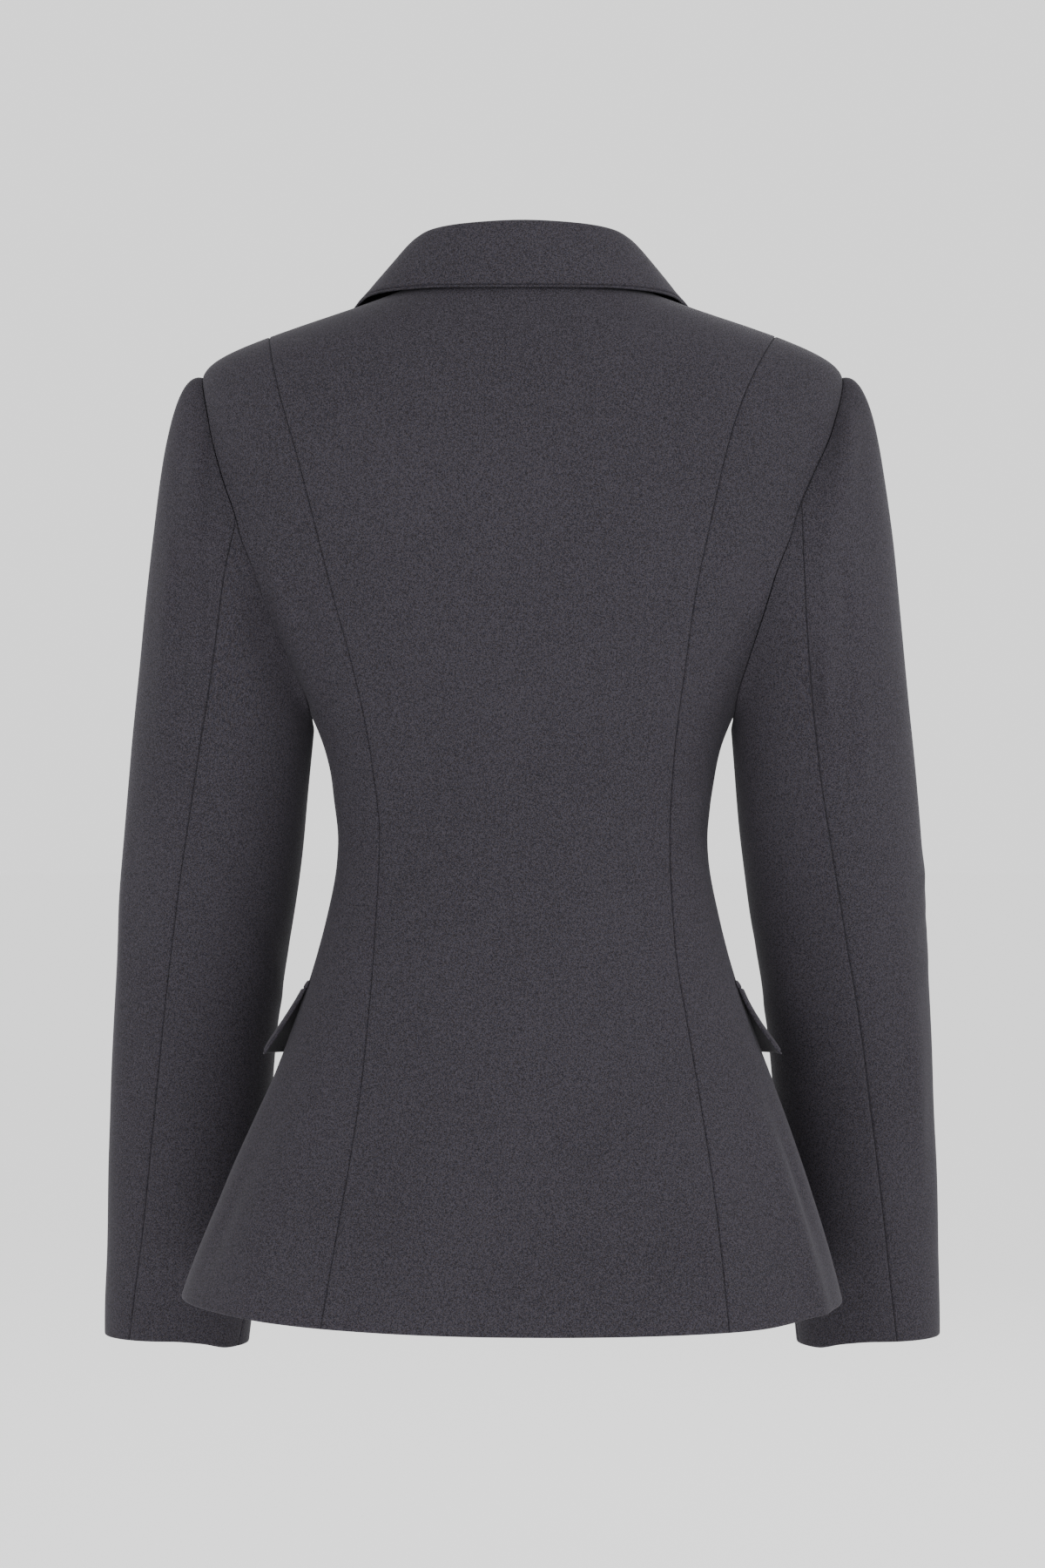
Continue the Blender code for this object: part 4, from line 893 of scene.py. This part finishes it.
def make_lapel(side):
    edges = ("folded", ("sewn", "folded", 0.66), "folded", "doubled")

    def surface(roll, share):
        return lapel_points(roll, share, side)[0]
    roll, share = fine_grid(surface, (LAPEL_START, LAPEL_END), edges, LAPEL_STEP)
    outer, outward = lapel_points(roll, share, side)
    outer = outer + outward * (waver(outer) * LAPEL_UNEVEN)[..., None]
    return cloth("lapel_" + SIDE_NAMES[side], outer, outward, edges)


# Collar
def collar_points(station, strip):
    """The collar's visible face. strip runs from 0 at the neck seam over the roll to 1 at the edge
    of the fall. The station is negative on the wearer's right."""
    side = np.where(station < 0, -1.0, 1.0)
    s = np.abs(station)
    neck_height = COLLAR.read("neck", s)
    neck = body(neck_height, COLLAR.read("neck_turn", s))
    neck = neck - points(0, COLLAR_SEAT, 0) * ease(COLLAR_SEAT_ENDS - s)[..., None]
    neck = neck - points(0, 0, COLLAR_SUNK)
    edge_height = COLLAR.read("edge", s)
    edge_turn = COLLAR.read("edge_turn", s)
    lift = np.where(side > 0, COLLAR.read("lift_left", s), COLLAR.read("lift_right", s))
    edge = body(edge_height, edge_turn) + body_outward(edge_height, edge_turn) * lift[..., None]
    fold = points(COLLAR.read("fold_x", s), COLLAR.read("fold_y", s), COLLAR.read("fold_z", s))
    outward = edge - neck
    outward[..., 2] = 0.0
    outward = unit(outward)

    rise = (fold - neck)[..., 2:3]
    t = np.clip(strip / STAND_SHARE, 0, 1)[..., None]
    upright = neck + points(0, 0, 1) * rise * STAND_UPRIGHT
    stand = bezier(neck, upright, fold - outward * COLLAR_ROLL * 0.5, fold, t)

    t = np.clip((strip - STAND_SHARE) / (1 - STAND_SHARE), 0, 1)[..., None]
    before_edge = mix(edge, fold, FALL_ROUND) + outward * COLLAR_BULGE + points(0, 0, COLLAR_BULGE)
    fall = bezier(fold, fold + outward * COLLAR_ROLL, before_edge, edge, t)
    notch = on_front(np.array(NOTCH[0]), np.array(NOTCH[1]), np.array(LAY + NOTCH_LIFT))
    to_notch = mix(fold, notch, t / GORGE_BEND)
    to_edge = mix(notch, edge, (t - GORGE_BEND) / (1 - GORGE_BEND))
    gorge_line = np.where(t < GORGE_BEND, to_notch, to_edge)
    fall = mix(fall, gorge_line, COLLAR.read("gorge", s)[..., None])
    place = np.where(strip[..., None] < STAND_SHARE, stand, fall)
    place[..., 0] *= side
    return place


def make_collar():
    free = STAND_SHARE + (1 - STAND_SHARE) * GORGE_BEND
    edges = (("sewn", "folded", free), ("sewn", "folded", free), "folded", "doubled")
    station, strip = fine_grid(collar_points, (-COLLAR_END, COLLAR_END), edges, COLLAR_STEP)
    outer = collar_points(station, strip)
    along = collar_points(station + 0.05, strip) - collar_points(station - 0.05, strip)
    over = collar_points(station, np.minimum(strip + 0.01, 1)) - collar_points(
        station, np.maximum(strip - 0.01, 0))
    outward = unit(np.cross(along, over))
    return cloth("collar", outer + outward * (waver(outer) * COLLAR_UNEVEN)[..., None], outward, edges)


# Sleeves
def armhole_loop(side):
    """Points down the back of one armhole and up its front, laid out on the left, with each one's
    share of the way from the shoulder tip to the underarm."""
    share = np.linspace(0, 1, 241)
    halves = []
    for column in ("back_" + SIDE_NAMES[side], "front"):
        line = body(ARMHOLE.read("height", share), ARMHOLE.read(column, share))
        lengths = np.concatenate([[0], np.cumsum(np.linalg.norm(np.diff(line, axis=0), axis=1))])
        halves.append((lengths / lengths[-1], line))
    return halves


ARMHOLE_HALVES = {side: armhole_loop(side) for side in (LEFT, RIGHT)}


def armhole_point(around, side):
    """The armhole's edge: 0 at the shoulder tip, 90 at the back, 180 under the arm, 270 in front."""
    around = np.mod(around, 360)
    sides = []
    for (share, line), way in zip(ARMHOLE_HALVES[side], (around / 180, (360 - around) / 180)):
        sides.append(np.stack([np.interp(way, share, line[:, k]) for k in range(3)], axis=-1))
    return np.where((around <= 180)[..., None], sides[0], sides[1])


def sleeve_ring(around, height):
    angle = np.radians(around)
    x = SLEEVE.read("centre_x", height) + SLEEVE.read("half_width", height) * np.cos(angle)
    y = SLEEVE.read("centre_y", height) + SLEEVE.read("half_depth", height) * np.sin(angle)
    rise = CUFF_LINE.read("rise", np.mod(around, 360))
    return points(x, y, height + rise * ease((CUFF_LINE_TOP - height) / (CUFF_LINE_TOP - CUFF)))


def sleeve_fold_rise(height, around, side):
    total = np.zeros(np.broadcast(height, around).shape)
    around = np.mod(around + 180, 360) - 180
    for fold_side, top, bottom, top_round, bottom_round, spread, rise in SLEEVE_FOLDS:
        if fold_side == side:
            down = (top - height) / (top - bottom)
            ridge = mix(top_round, bottom_round, np.clip(down, 0, 1))
            ends = ease(down / SLEEVE_FOLD_ENDS) * ease((1 - down) / SLEEVE_FOLD_ENDS)
            total = total + rise * ends * np.exp(-((around - ridge) / spread) ** 2)
    return total


def smooth_sleeve(around, along, side):
    """A sleeve with no folds, laid out on the left. along is 0 at the armhole, 1 at the top ring and
    2 at the cuff."""
    turned = np.mod(around, 360)
    leave = unit(points(SLEEVE_HEAD.read("out", turned), SLEEVE_HEAD.read("back", turned),
                        SLEEVE_HEAD.read("up", turned)))
    start = armhole_point(around, side) + leave * CAP_LEAVES
    top = np.full_like(around, SLEEVE_TOP)
    end = sleeve_ring(around, top)
    settle = unit(sleeve_ring(around, top - HEAD_SETTLES) - end)
    length = np.linalg.norm(end - start, axis=-1, keepdims=True)
    t = np.clip(along, 0, 1)[..., None]
    reach = SLEEVE_HEAD.read("reach", turned)[..., None]
    back_off = length * SLEEVE_HEAD.read("settle", turned)[..., None]
    head = bezier(start, start + leave * reach, end - settle * back_off, end, t)
    tube = sleeve_ring(around, mix(SLEEVE_TOP, CUFF, np.clip(along - 1, 0, 1)))
    return np.where(along[..., None] < 1, head, tube)


def sleeve_outward(around, along, side):
    down = smooth_sleeve(around, np.minimum(along + 0.01, 2), side) - smooth_sleeve(
        around, np.maximum(along - 0.01, 0), side)
    across = smooth_sleeve(around + 0.5, along, side) - smooth_sleeve(around - 0.5, along, side)
    return unit(np.cross(down, across))


def sleeve_seam(place, side, along):
    return SLEEVE_SEAMS.read(place + SIDE_NAMES[side], along)


def sleeve_piece(name, side, around_at):
    def surface(along, share):
        return smooth_sleeve(around_at(along, share), along, side)
    edges = ("set in", "folded", "sewn", "sewn")
    along, share = fine_grid(surface, (0, 2), edges)
    around = around_at(along, share)
    outward = sleeve_outward(around, along, side)
    outer = smooth_sleeve(around, along, side)
    outer = outer + outward * sleeve_fold_rise(outer[..., 2], around, side)[..., None]
    flip = np.array([side, 1, 1])
    outer, outward = outer * flip, outward * flip
    lift = crease_rise(outer, sleeve_creases(side)) + waver(outer)
    return cloth(name + "_" + SIDE_NAMES[side], outer + outward * lift[..., None], outward, edges)


def make_sleeve(side):
    def upper(along, share):
        return mix(sleeve_seam("front_", side, along) - 360, sleeve_seam("back_", side, along), share)

    def under(along, share):
        return mix(sleeve_seam("back_", side, along), sleeve_seam("front_", side, along), share)
    return [sleeve_piece("sleeve_upper", side, upper), sleeve_piece("sleeve_under", side, under)]


# Pockets
def pocket_place(length, drop, out, side):
    """A place outside the skirt and the way it faces: length is 0 at the pocket's back end and 1 at
    its front end, drop is how far it is below the flap's seam."""
    turn = mix(FLAP_TURNS[0], FLAP_TURNS[1], length) * side
    height = FLAP_TOP + FLAP_SLOPE * length - drop
    outward = body_outward(height, turn)
    return body(height, turn) + outward * np.asarray(out)[..., None], outward


def pocket_piece(name, side, place, edges, thickness):
    """place gives an outer place and the way it faces, for shares of the height and the length."""
    drop, length = fine_grid(lambda row, share: place(row, share)[0], (0, 1), edges, POCKET_STEP)
    outer, outward = place(drop, length)
    return cloth(name + "_" + SIDE_NAMES[side], outer, outward, edges, thickness)


def make_flap(side):
    def place(drop, length):
        from_end = np.minimum(length, 1 - length) * FLAP_LENGTH
        inside = np.clip(1 - from_end / FLAP_CORNER, 0, 1)
        cut = (1 - np.sqrt(1 - inside ** 2)) * FLAP_CORNER / FLAP_DROP
        drop = drop * (1 - cut)
        curl = FLAP_CURL * np.clip((drop - FLAP_CURL_STARTS) / (1 - FLAP_CURL_STARTS), 0, 1) ** 2
        out = FLAP_LAY + FLAP_JUT * drop ** FLAP_SWEEP[side] - curl
        return pocket_place(length, FLAP_DROP * drop, out, side)
    return pocket_piece("pocket_flap", side, place, ("set in", "doubled", "folded", "folded"), WALL)


def make_jet(side):
    def place(drop, length):
        below_seam = mix(-JET_SPACE - JET_HEIGHT, -JET_SPACE, drop)
        return pocket_place(length, below_seam, JET_LAY, side)
    return pocket_piece("pocket_jet", side, place, ("eased", "set in", "eased", "eased"), JET_THICKNESS)


# Buttons and buttonholes
def frame_at(place, outward, across):
    """A matrix whose z faces outward and whose x runs as near to across as it can."""
    z = Vector(outward).normalized()
    y = z.cross(Vector(across)).normalized()
    turned = Matrix((y.cross(z), y, z)).transposed().to_4x4()
    return Matrix.Translation(Vector(place)) @ turned


def piece_from(name, mesh, place):
    bmesh.ops.recalc_face_normals(mesh, faces=mesh.faces)
    bmesh.ops.transform(mesh, matrix=place, verts=mesh.verts)
    data = bpy.data.meshes.new(name)
    mesh.to_mesh(data)
    mesh.free()
    return piece(name, data)


def button_place(height):
    seat = on_front(np.array(0.0), np.array(height), np.array(LAY + BUTTON_SEAT))
    return frame_at(seat, body_outward(np.array(height), np.array(180.0)), (1, 0, 0))


def make_button(name, height):
    """A dished horn button with a raised rim. Its middle is a plate with four holes."""
    # From the middle of its back round the rim to the plate, in shares of its radius and thickness
    profile = [(0.0, 0.0), (0.62, 0.0), (0.80, 0.03), (0.92, 0.14), (0.985, 0.32), (1.0, 0.50),
               (0.99, 0.72), (0.955, 0.90), (0.91, 0.985), (0.87, 1.0), (0.83, 0.965), (0.79, 0.86),
               (0.74, 0.73), (0.68, 0.655), (0.60, 0.63)]
    mesh = bmesh.new()
    ring = [mesh.verts.new((radius * BUTTON_RADIUS, 0, up * BUTTON_THICKNESS)) for radius, up in profile]
    edges = [mesh.edges.new(pair) for pair in zip(ring, ring[1:])]
    bmesh.ops.spin(mesh, geom=ring + edges, cent=(0, 0, 0), axis=(0, 0, 1), angle=math.tau,
                   steps=64, use_merge=True)
    bmesh.ops.remove_doubles(mesh, verts=mesh.verts, dist=1e-6)
    rim = [edge for edge in mesh.edges if edge.is_boundary]

    plate = bmesh.ops.create_grid(mesh, x_segments=16, y_segments=16, size=BUTTON_PLATE)["verts"]
    bmesh.ops.translate(mesh, verts=plate, vec=(0, 0, BUTTON_PLATE_LEVEL))
    square = [edge for vertex in plate for edge in vertex.link_edges if edge.is_boundary]
    bmesh.ops.bridge_loops(mesh, edges=rim + list(set(square)))
    for x in (-HOLE_APART, HOLE_APART):
        for y in (-HOLE_APART, HOLE_APART):
            sink_hole(mesh, BUTTON_PLATE_LEVEL, x, y)
    return piece_from(name, mesh, button_place(height))


def sink_hole(mesh, level, x, y):
    """Draws the plate's nearest corners into a circle and sinks the faces inside it."""
    for vertex in mesh.verts:
        away = Vector((vertex.co.x - x, vertex.co.y - y, 0))
        near = max(abs(away.x), abs(away.y)) < HOLE_RADIUS * 1.35 and abs(vertex.co.z - level) < 1e-6
        in_middle = away.length <= HOLE_RADIUS * 0.5
        if near and not in_middle:
            vertex.co += away.normalized() * (HOLE_RADIUS - away.length)
    inside = []
    for face in mesh.faces:
        middle = face.calc_center_median()
        away = math.hypot(middle.x - x, middle.y - y)
        if away < HOLE_RADIUS * 0.92 and abs(middle.z - level) < 1e-5:
            inside.append(face)
    for depth in HOLE_SINKS:
        sunk = bmesh.ops.extrude_face_region(mesh, geom=inside)["geom"]
        bmesh.ops.delete(mesh, geom=inside, context="FACES")
        inside = [item for item in sunk if isinstance(item, bmesh.types.BMFace)]
        corners = list({vertex for face in inside for vertex in face.verts})
        bmesh.ops.translate(mesh, verts=corners, vec=(0, 0, -depth))


def make_button_thread(name, height):
    """Thread from hole to hole in two bars, and the shank below the button."""
    mesh = bmesh.new()
    for y in (-HOLE_APART, HOLE_APART):
        for number in (-1, 0, 1):
            circle = bmesh.ops.create_circle(mesh, segments=8, radius=THREAD_RADIUS)["verts"]
            middle = (0, y + number * THREAD_APART, 0)
            bmesh.ops.translate(mesh, verts=circle, vec=(HOLE_APART, middle[1], 0))
            edges = list({edge for vertex in circle for edge in vertex.link_edges})
            bmesh.ops.spin(mesh, geom=circle + edges, cent=middle, axis=(0, -1, 0), angle=math.pi,
                           steps=10)
    bmesh.ops.scale(mesh, verts=mesh.verts, vec=(1, 1, THREAD_FLAT))
    bmesh.ops.translate(mesh, verts=mesh.verts, vec=(0, 0, THREAD_LEVEL))
    shank = bmesh.ops.create_cone(mesh, cap_ends=True, segments=16, radius1=SHANK_RADIUS,
                                  radius2=SHANK_RADIUS, depth=BUTTON_SEAT + SHANK_INSIDE)["verts"]
    bmesh.ops.translate(mesh, verts=shank, vec=(0, 0, -BUTTON_SEAT / 2))
    return piece_from(name, mesh, button_place(height))


def make_buttonhole(name, height):
    """Close purl stitches round a slit in the right front, on the button's height."""
    mesh = bmesh.new()
    outline = []                # each stitch's place across and up, and its turn
    for x in np.arange(*BUTTONHOLE_ENDS, STITCH_APART):
        outline += [(x, -STITCH_OUT, 0.0), (x + STITCH_APART / 2, STITCH_OUT, math.pi)]
    for end, start_angle in zip(BUTTONHOLE_ENDS, (math.pi / 2, -math.pi / 2)):
        for angle in np.linspace(start_angle, start_angle + math.pi, END_STITCHES):
            outline.append((end + STITCH_OUT * math.cos(angle), STITCH_OUT * math.sin(angle),
                            angle + math.pi / 2))
    for across, up, angle in outline:
        stitch = bmesh.ops.create_uvsphere(mesh, u_segments=6, v_segments=5, radius=1.0)["verts"]
        bmesh.ops.scale(mesh, verts=stitch, vec=STITCH_HALVES)
        bmesh.ops.rotate(mesh, verts=stitch, matrix=Matrix.Rotation(angle, 3, "Z"))
        bmesh.ops.translate(mesh, verts=stitch, vec=(across, up, 0))
    stitched = np.array([vertex.co for vertex in mesh.verts]) + [0, height, STITCH_LIFT]
    for vertex, place in zip(mesh.verts, on_right_front(*stitched.T)):
        vertex.co = place
    return piece_from(name, mesh, Matrix.Identity(4))


def on_right_front(x, height, out):
    """Places on the right front's cloth, its creases too."""
    turn = -turn_at(height, -x, True)
    flat = body(height, turn)
    lift = LAY + crease_rise(flat, BODY_LINES) + waver(flat) + out
    return flat + body_outward(height, turn) * lift[..., None]


# Finishes
class Amount:
    """A number that changes over a surface, so that sums of such numbers can be written as sums."""

    def __init__(self, finish, socket):
        self.finish = finish
        self.socket = socket

    def sum(self, operation, first, second):
        return self.finish.node("ShaderNodeMath", {"operation": operation}, {0: first, 1: second})

    def __add__(self, other):
        return self.sum("ADD", self, other)

    def __radd__(self, other):
        return self.sum("ADD", other, self)

    def __sub__(self, other):
        return self.sum("SUBTRACT", self, other)

    def __rsub__(self, other):
        return self.sum("SUBTRACT", other, self)

    def __mul__(self, other):
        return self.sum("MULTIPLY", self, other)

    def __rmul__(self, other):
        return self.sum("MULTIPLY", other, self)


class Finish:
    """A material, and the nodes that it is made of."""

    def __init__(self, name):
        self.material = bpy.data.materials.new(name)
        self.material.use_nodes = True
        self.tree = self.material.node_tree
        self.shader = self.tree.nodes["Principled BSDF"]

    def feed(self, socket, value):
        """A link, a number, or a colour given as red, green and blue."""
        if isinstance(value, Amount):
            self.tree.links.new(value.socket, socket)
        elif socket.type == "RGBA":
            socket.default_value = (*value, 1.0)
        else:
            socket.default_value = value

    def node(self, kind, settings, sockets, output=0):
        made = self.tree.nodes.new(kind)
        for name, value in settings.items():
            setattr(made, name, value)
        for name, value in sockets.items():
            self.feed(made.inputs[name], value)
        return Amount(self, made.outputs[output])

    def own_place(self):
        return self.node("ShaderNodeTexCoord", {}, {}, "Object")

    def cloth_place(self):
        return self.node("ShaderNodeUVMap", {"uv_map": "cloth"}, {})

    def stretched(self, place, scale, turn=(0.0, 0.0, 0.0)):
        return self.node("ShaderNodeMapping", {}, {"Vector": place, "Scale": scale, "Rotation": turn})

    def noise(self, place, scale, detail=2.0, roughness=0.5, wander=0.0):
        return self.node("ShaderNodeTexNoise", {}, {
            "Vector": place, "Scale": scale, "Detail": detail, "Roughness": roughness,
            "Distortion": wander})

    def between(self, amount, low, high):
        return self.node("ShaderNodeMapRange", {"interpolation_type": "SMOOTHSTEP"}, {
            "Value": amount, "From Min": low, "From Max": high})

    def blend(self, amount, first, second):
        """A colour: the first where amount is 0 and the second where it is 1. On a Mix node, inputs
        6 and 7 and output 2 are those for colours."""
        return self.node("ShaderNodeMix", {"data_type": "RGBA"}, {0: amount, 6: first, 7: second}, 2)

    def bump(self, height, strength, depth):
        return self.node("ShaderNodeBump", {}, {"Strength": strength, "Distance": depth,
                                                "Height": height})

    def set(self, **values):
        for name, value in values.items():
            self.feed(self.shader.inputs[name.replace("_", " ")], value)
        return self.material


CREPE_DARK = (0.0030, 0.0028, 0.0035)
CREPE_LIGHT = (0.0400, 0.0364, 0.0448)
CREPE_BLUE = (0.0165, 0.0166, 0.0275)
CREPE_BROWN = (0.0265, 0.0203, 0.0200)
HEATHER_SHARE = 0.30        # how much of the cloth's colour the blue and brown heather makes
HORN_DARK = (0.0105, 0.0095, 0.0105)
HORN_LIGHT = (0.034, 0.028, 0.027)
THREAD_DARK = (0.026, 0.024, 0.029)
THREAD_LIGHT = (0.050, 0.047, 0.054)


def crepe():
    """Fine matte crepe: a pebbled face of tightly twisted yarn, with a faint blue and brown heather.
    The grains are turned, so that they don't line up with the weave or with each other."""
    finish = Finish("charcoal crepe")
    place = finish.own_place()
    woven = finish.cloth_place()
    over_cloth = finish.stretched(woven, (1.0, 0.85, 1.0), (0.0, 0.0, 0.62))
    pebble = finish.noise(over_cloth, 720.0, 2.0, 0.6, 0.5)
    through_space = finish.stretched(place, (1.0, 1.0, 1.0), (0.5, 0.4, 0.7))
    grain = finish.noise(through_space, 1700.0, 1.0, 0.5, 0.6)
    along_yarn = finish.stretched(woven, (1.0, 0.7, 1.0), (0.0, 0.0, 1.0))
    heather = finish.noise(along_yarn, 940.0, 1.0, 0.5)
    broad = finish.noise(place, 9.0, 2.0, 0.5)
    light = 0.5 + (pebble - 0.5) * 1.2 + (grain - 0.5) * 3.0 + (broad - 0.5) * 0.25
    shade = finish.blend(finish.between(light, 0.0, 1.0), CREPE_DARK, CREPE_LIGHT)
    tinted = finish.blend(finish.between(heather, 0.35, 0.65), CREPE_BLUE, CREPE_BROWN)
    surface = pebble * 0.35 + grain * 0.65
    return finish.set(
        Base_Color=finish.blend(HEATHER_SHARE, shade, tinted),
        Roughness=0.88 + (pebble - 0.5) * 0.16,
        Normal=finish.bump(surface, 0.6, 0.00025),
        Sheen_Weight=0.04, Sheen_Roughness=0.45, Sheen_Tint=(0.80, 0.78, 0.86),
        Specular_IOR_Level=0.12)


def horn():
    """Dark horn, dull polished, with faint streaks."""
    finish = Finish("dark horn")
    place = finish.own_place()
    streak = finish.noise(finish.stretched(place, (1.0, 1.0, 5.0)), 160.0, 3.0, 0.6, 1.2)
    cloud = finish.noise(place, 420.0, 2.0, 0.5)
    return finish.set(
        Base_Color=finish.blend(finish.between(streak, 0.42, 0.72), HORN_DARK, HORN_LIGHT),
        Roughness=0.30 + (cloud - 0.5) * 0.18, Normal=finish.bump(cloud, 0.12, 0.0002),
        Specular_IOR_Level=0.5, Coat_Weight=0.15, Coat_Roughness=0.2)


def thread():
    finish = Finish("thread")
    twist = finish.noise(finish.own_place(), 3200.0, 1.0, 0.5)
    return finish.set(
        Base_Color=finish.blend(twist, THREAD_DARK, THREAD_LIGHT), Roughness=0.62,
        Sheen_Weight=0.2, Specular_IOR_Level=0.4)


def plain(name, colour, roughness):
    finish = Finish(name)
    return finish.set(Base_Color=colour, Roughness=roughness)


# Room
FLOOR_LEVEL = -1.15
FLOOR_RADIUS = 30.0
SKY_STRENGTH = 1.45
SENSOR_WIDTH = 36.0
LIGHTS = [
    # name, place, what it is turned to, width and height, power
    ("key", (0.75, 2.65, 0.1), (0, 0, -0.3), (2.0, 2.0), 60.0),
    ("side", (-2.5, 0.6, 0.5), (-0.25, 0, -0.1), (0.8, 1.4), 42.0),
    ("front", (-0.8, -2.6, 1.0), (0, 0, -0.3), (1.6, 1.6), 16.0),
]


def make_camera():
    data = bpy.data.cameras.new("camera")
    data.sensor_width = SENSOR_WIDTH
    data.lens = SENSOR_WIDTH * CAMERA_AWAY / PICTURE_HEIGHT
    camera = add("camera", data)
    camera.location = (0, CAMERA_AWAY, CAMERA_HEIGHT)
    camera.rotation_euler = (math.pi / 2, 0, math.pi)
    bpy.context.scene.camera = camera


def make_light(name, place, target, size, power):
    data = bpy.data.lights.new(name, "AREA")
    data.shape = "RECTANGLE"
    data.size, data.size_y = size
    data.energy = power
    lamp = add(name, data)
    lamp.location = place
    lamp.rotation_euler = (Vector(target) - Vector(place)).to_track_quat("-Z", "Y").to_euler()


def make_floor():
    mesh = bmesh.new()
    bmesh.ops.create_circle(mesh, cap_ends=True, segments=64, radius=FLOOR_RADIUS)
    bmesh.ops.translate(mesh, verts=mesh.verts, vec=(0, 0, FLOOR_LEVEL))
    data = bpy.data.meshes.new("floor")
    mesh.to_mesh(data)
    mesh.free()
    data.materials.append(plain("pale floor", (0.98, 0.98, 0.98), 1.0))
    add("floor", data)


def make_room():
    make_floor()
    world = bpy.data.worlds.new("studio")
    bpy.context.scene.world = world
    world.use_nodes = True
    sky = world.node_tree.nodes["Background"].inputs
    sky["Color"].default_value = (1.0, 1.0, 1.0, 1.0)
    sky["Strength"].default_value = SKY_STRENGTH
    for light in LIGHTS:
        make_light(*light)


def dress(made, node, finish):
    """node is the solid that the piece stands for, or None."""
    made.data.materials.append(finish)
    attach(made, "root")
    if node:
        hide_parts(node)


def make_cloth_pieces():
    """Every piece of cloth, by the name of the solid that it stands for."""
    pieces = {"centre_back": make_centre_back(), "collar": make_collar()}
    for side in (LEFT, RIGHT):
        name = SIDE_NAMES[side]
        pieces["side_back_" + name] = make_side_panel(side, False)
        pieces["side_front_" + name] = make_side_panel(side, True)
        pieces["front_" + name] = make_front(side)
        pieces["lapel_" + name] = make_lapel(side)
        pieces["sleeve_upper_" + name], pieces["sleeve_under_" + name] = make_sleeve(side)
        pieces["pocket_flap_" + name] = make_flap(side)
        pieces["pocket_jet_" + name] = make_jet(side)
    return pieces


def make_blazer():
    cloth_finish, button_finish, thread_finish = crepe(), horn(), thread()
    pieces = make_cloth_pieces()
    for node, made in pieces.items():
        put_outside_out(made)
        dress(made, node, cloth_finish)
    buttonholes = []
    for name, height in zip(("upper", "lower"), BUTTON_HEIGHTS):
        dress(make_button("button_" + name, height), "button_" + name, button_finish)
        dress(make_button_thread("thread_" + name, height), None, thread_finish)
        buttonholes.append(make_buttonhole("buttonhole_" + name, height))
        dress(buttonholes[-1], None, thread_finish)
    for node, made in pieces.items():
        sewn_on = buttonholes if node == "front_right" else ()


make_camera()
make_blazer()
make_room()
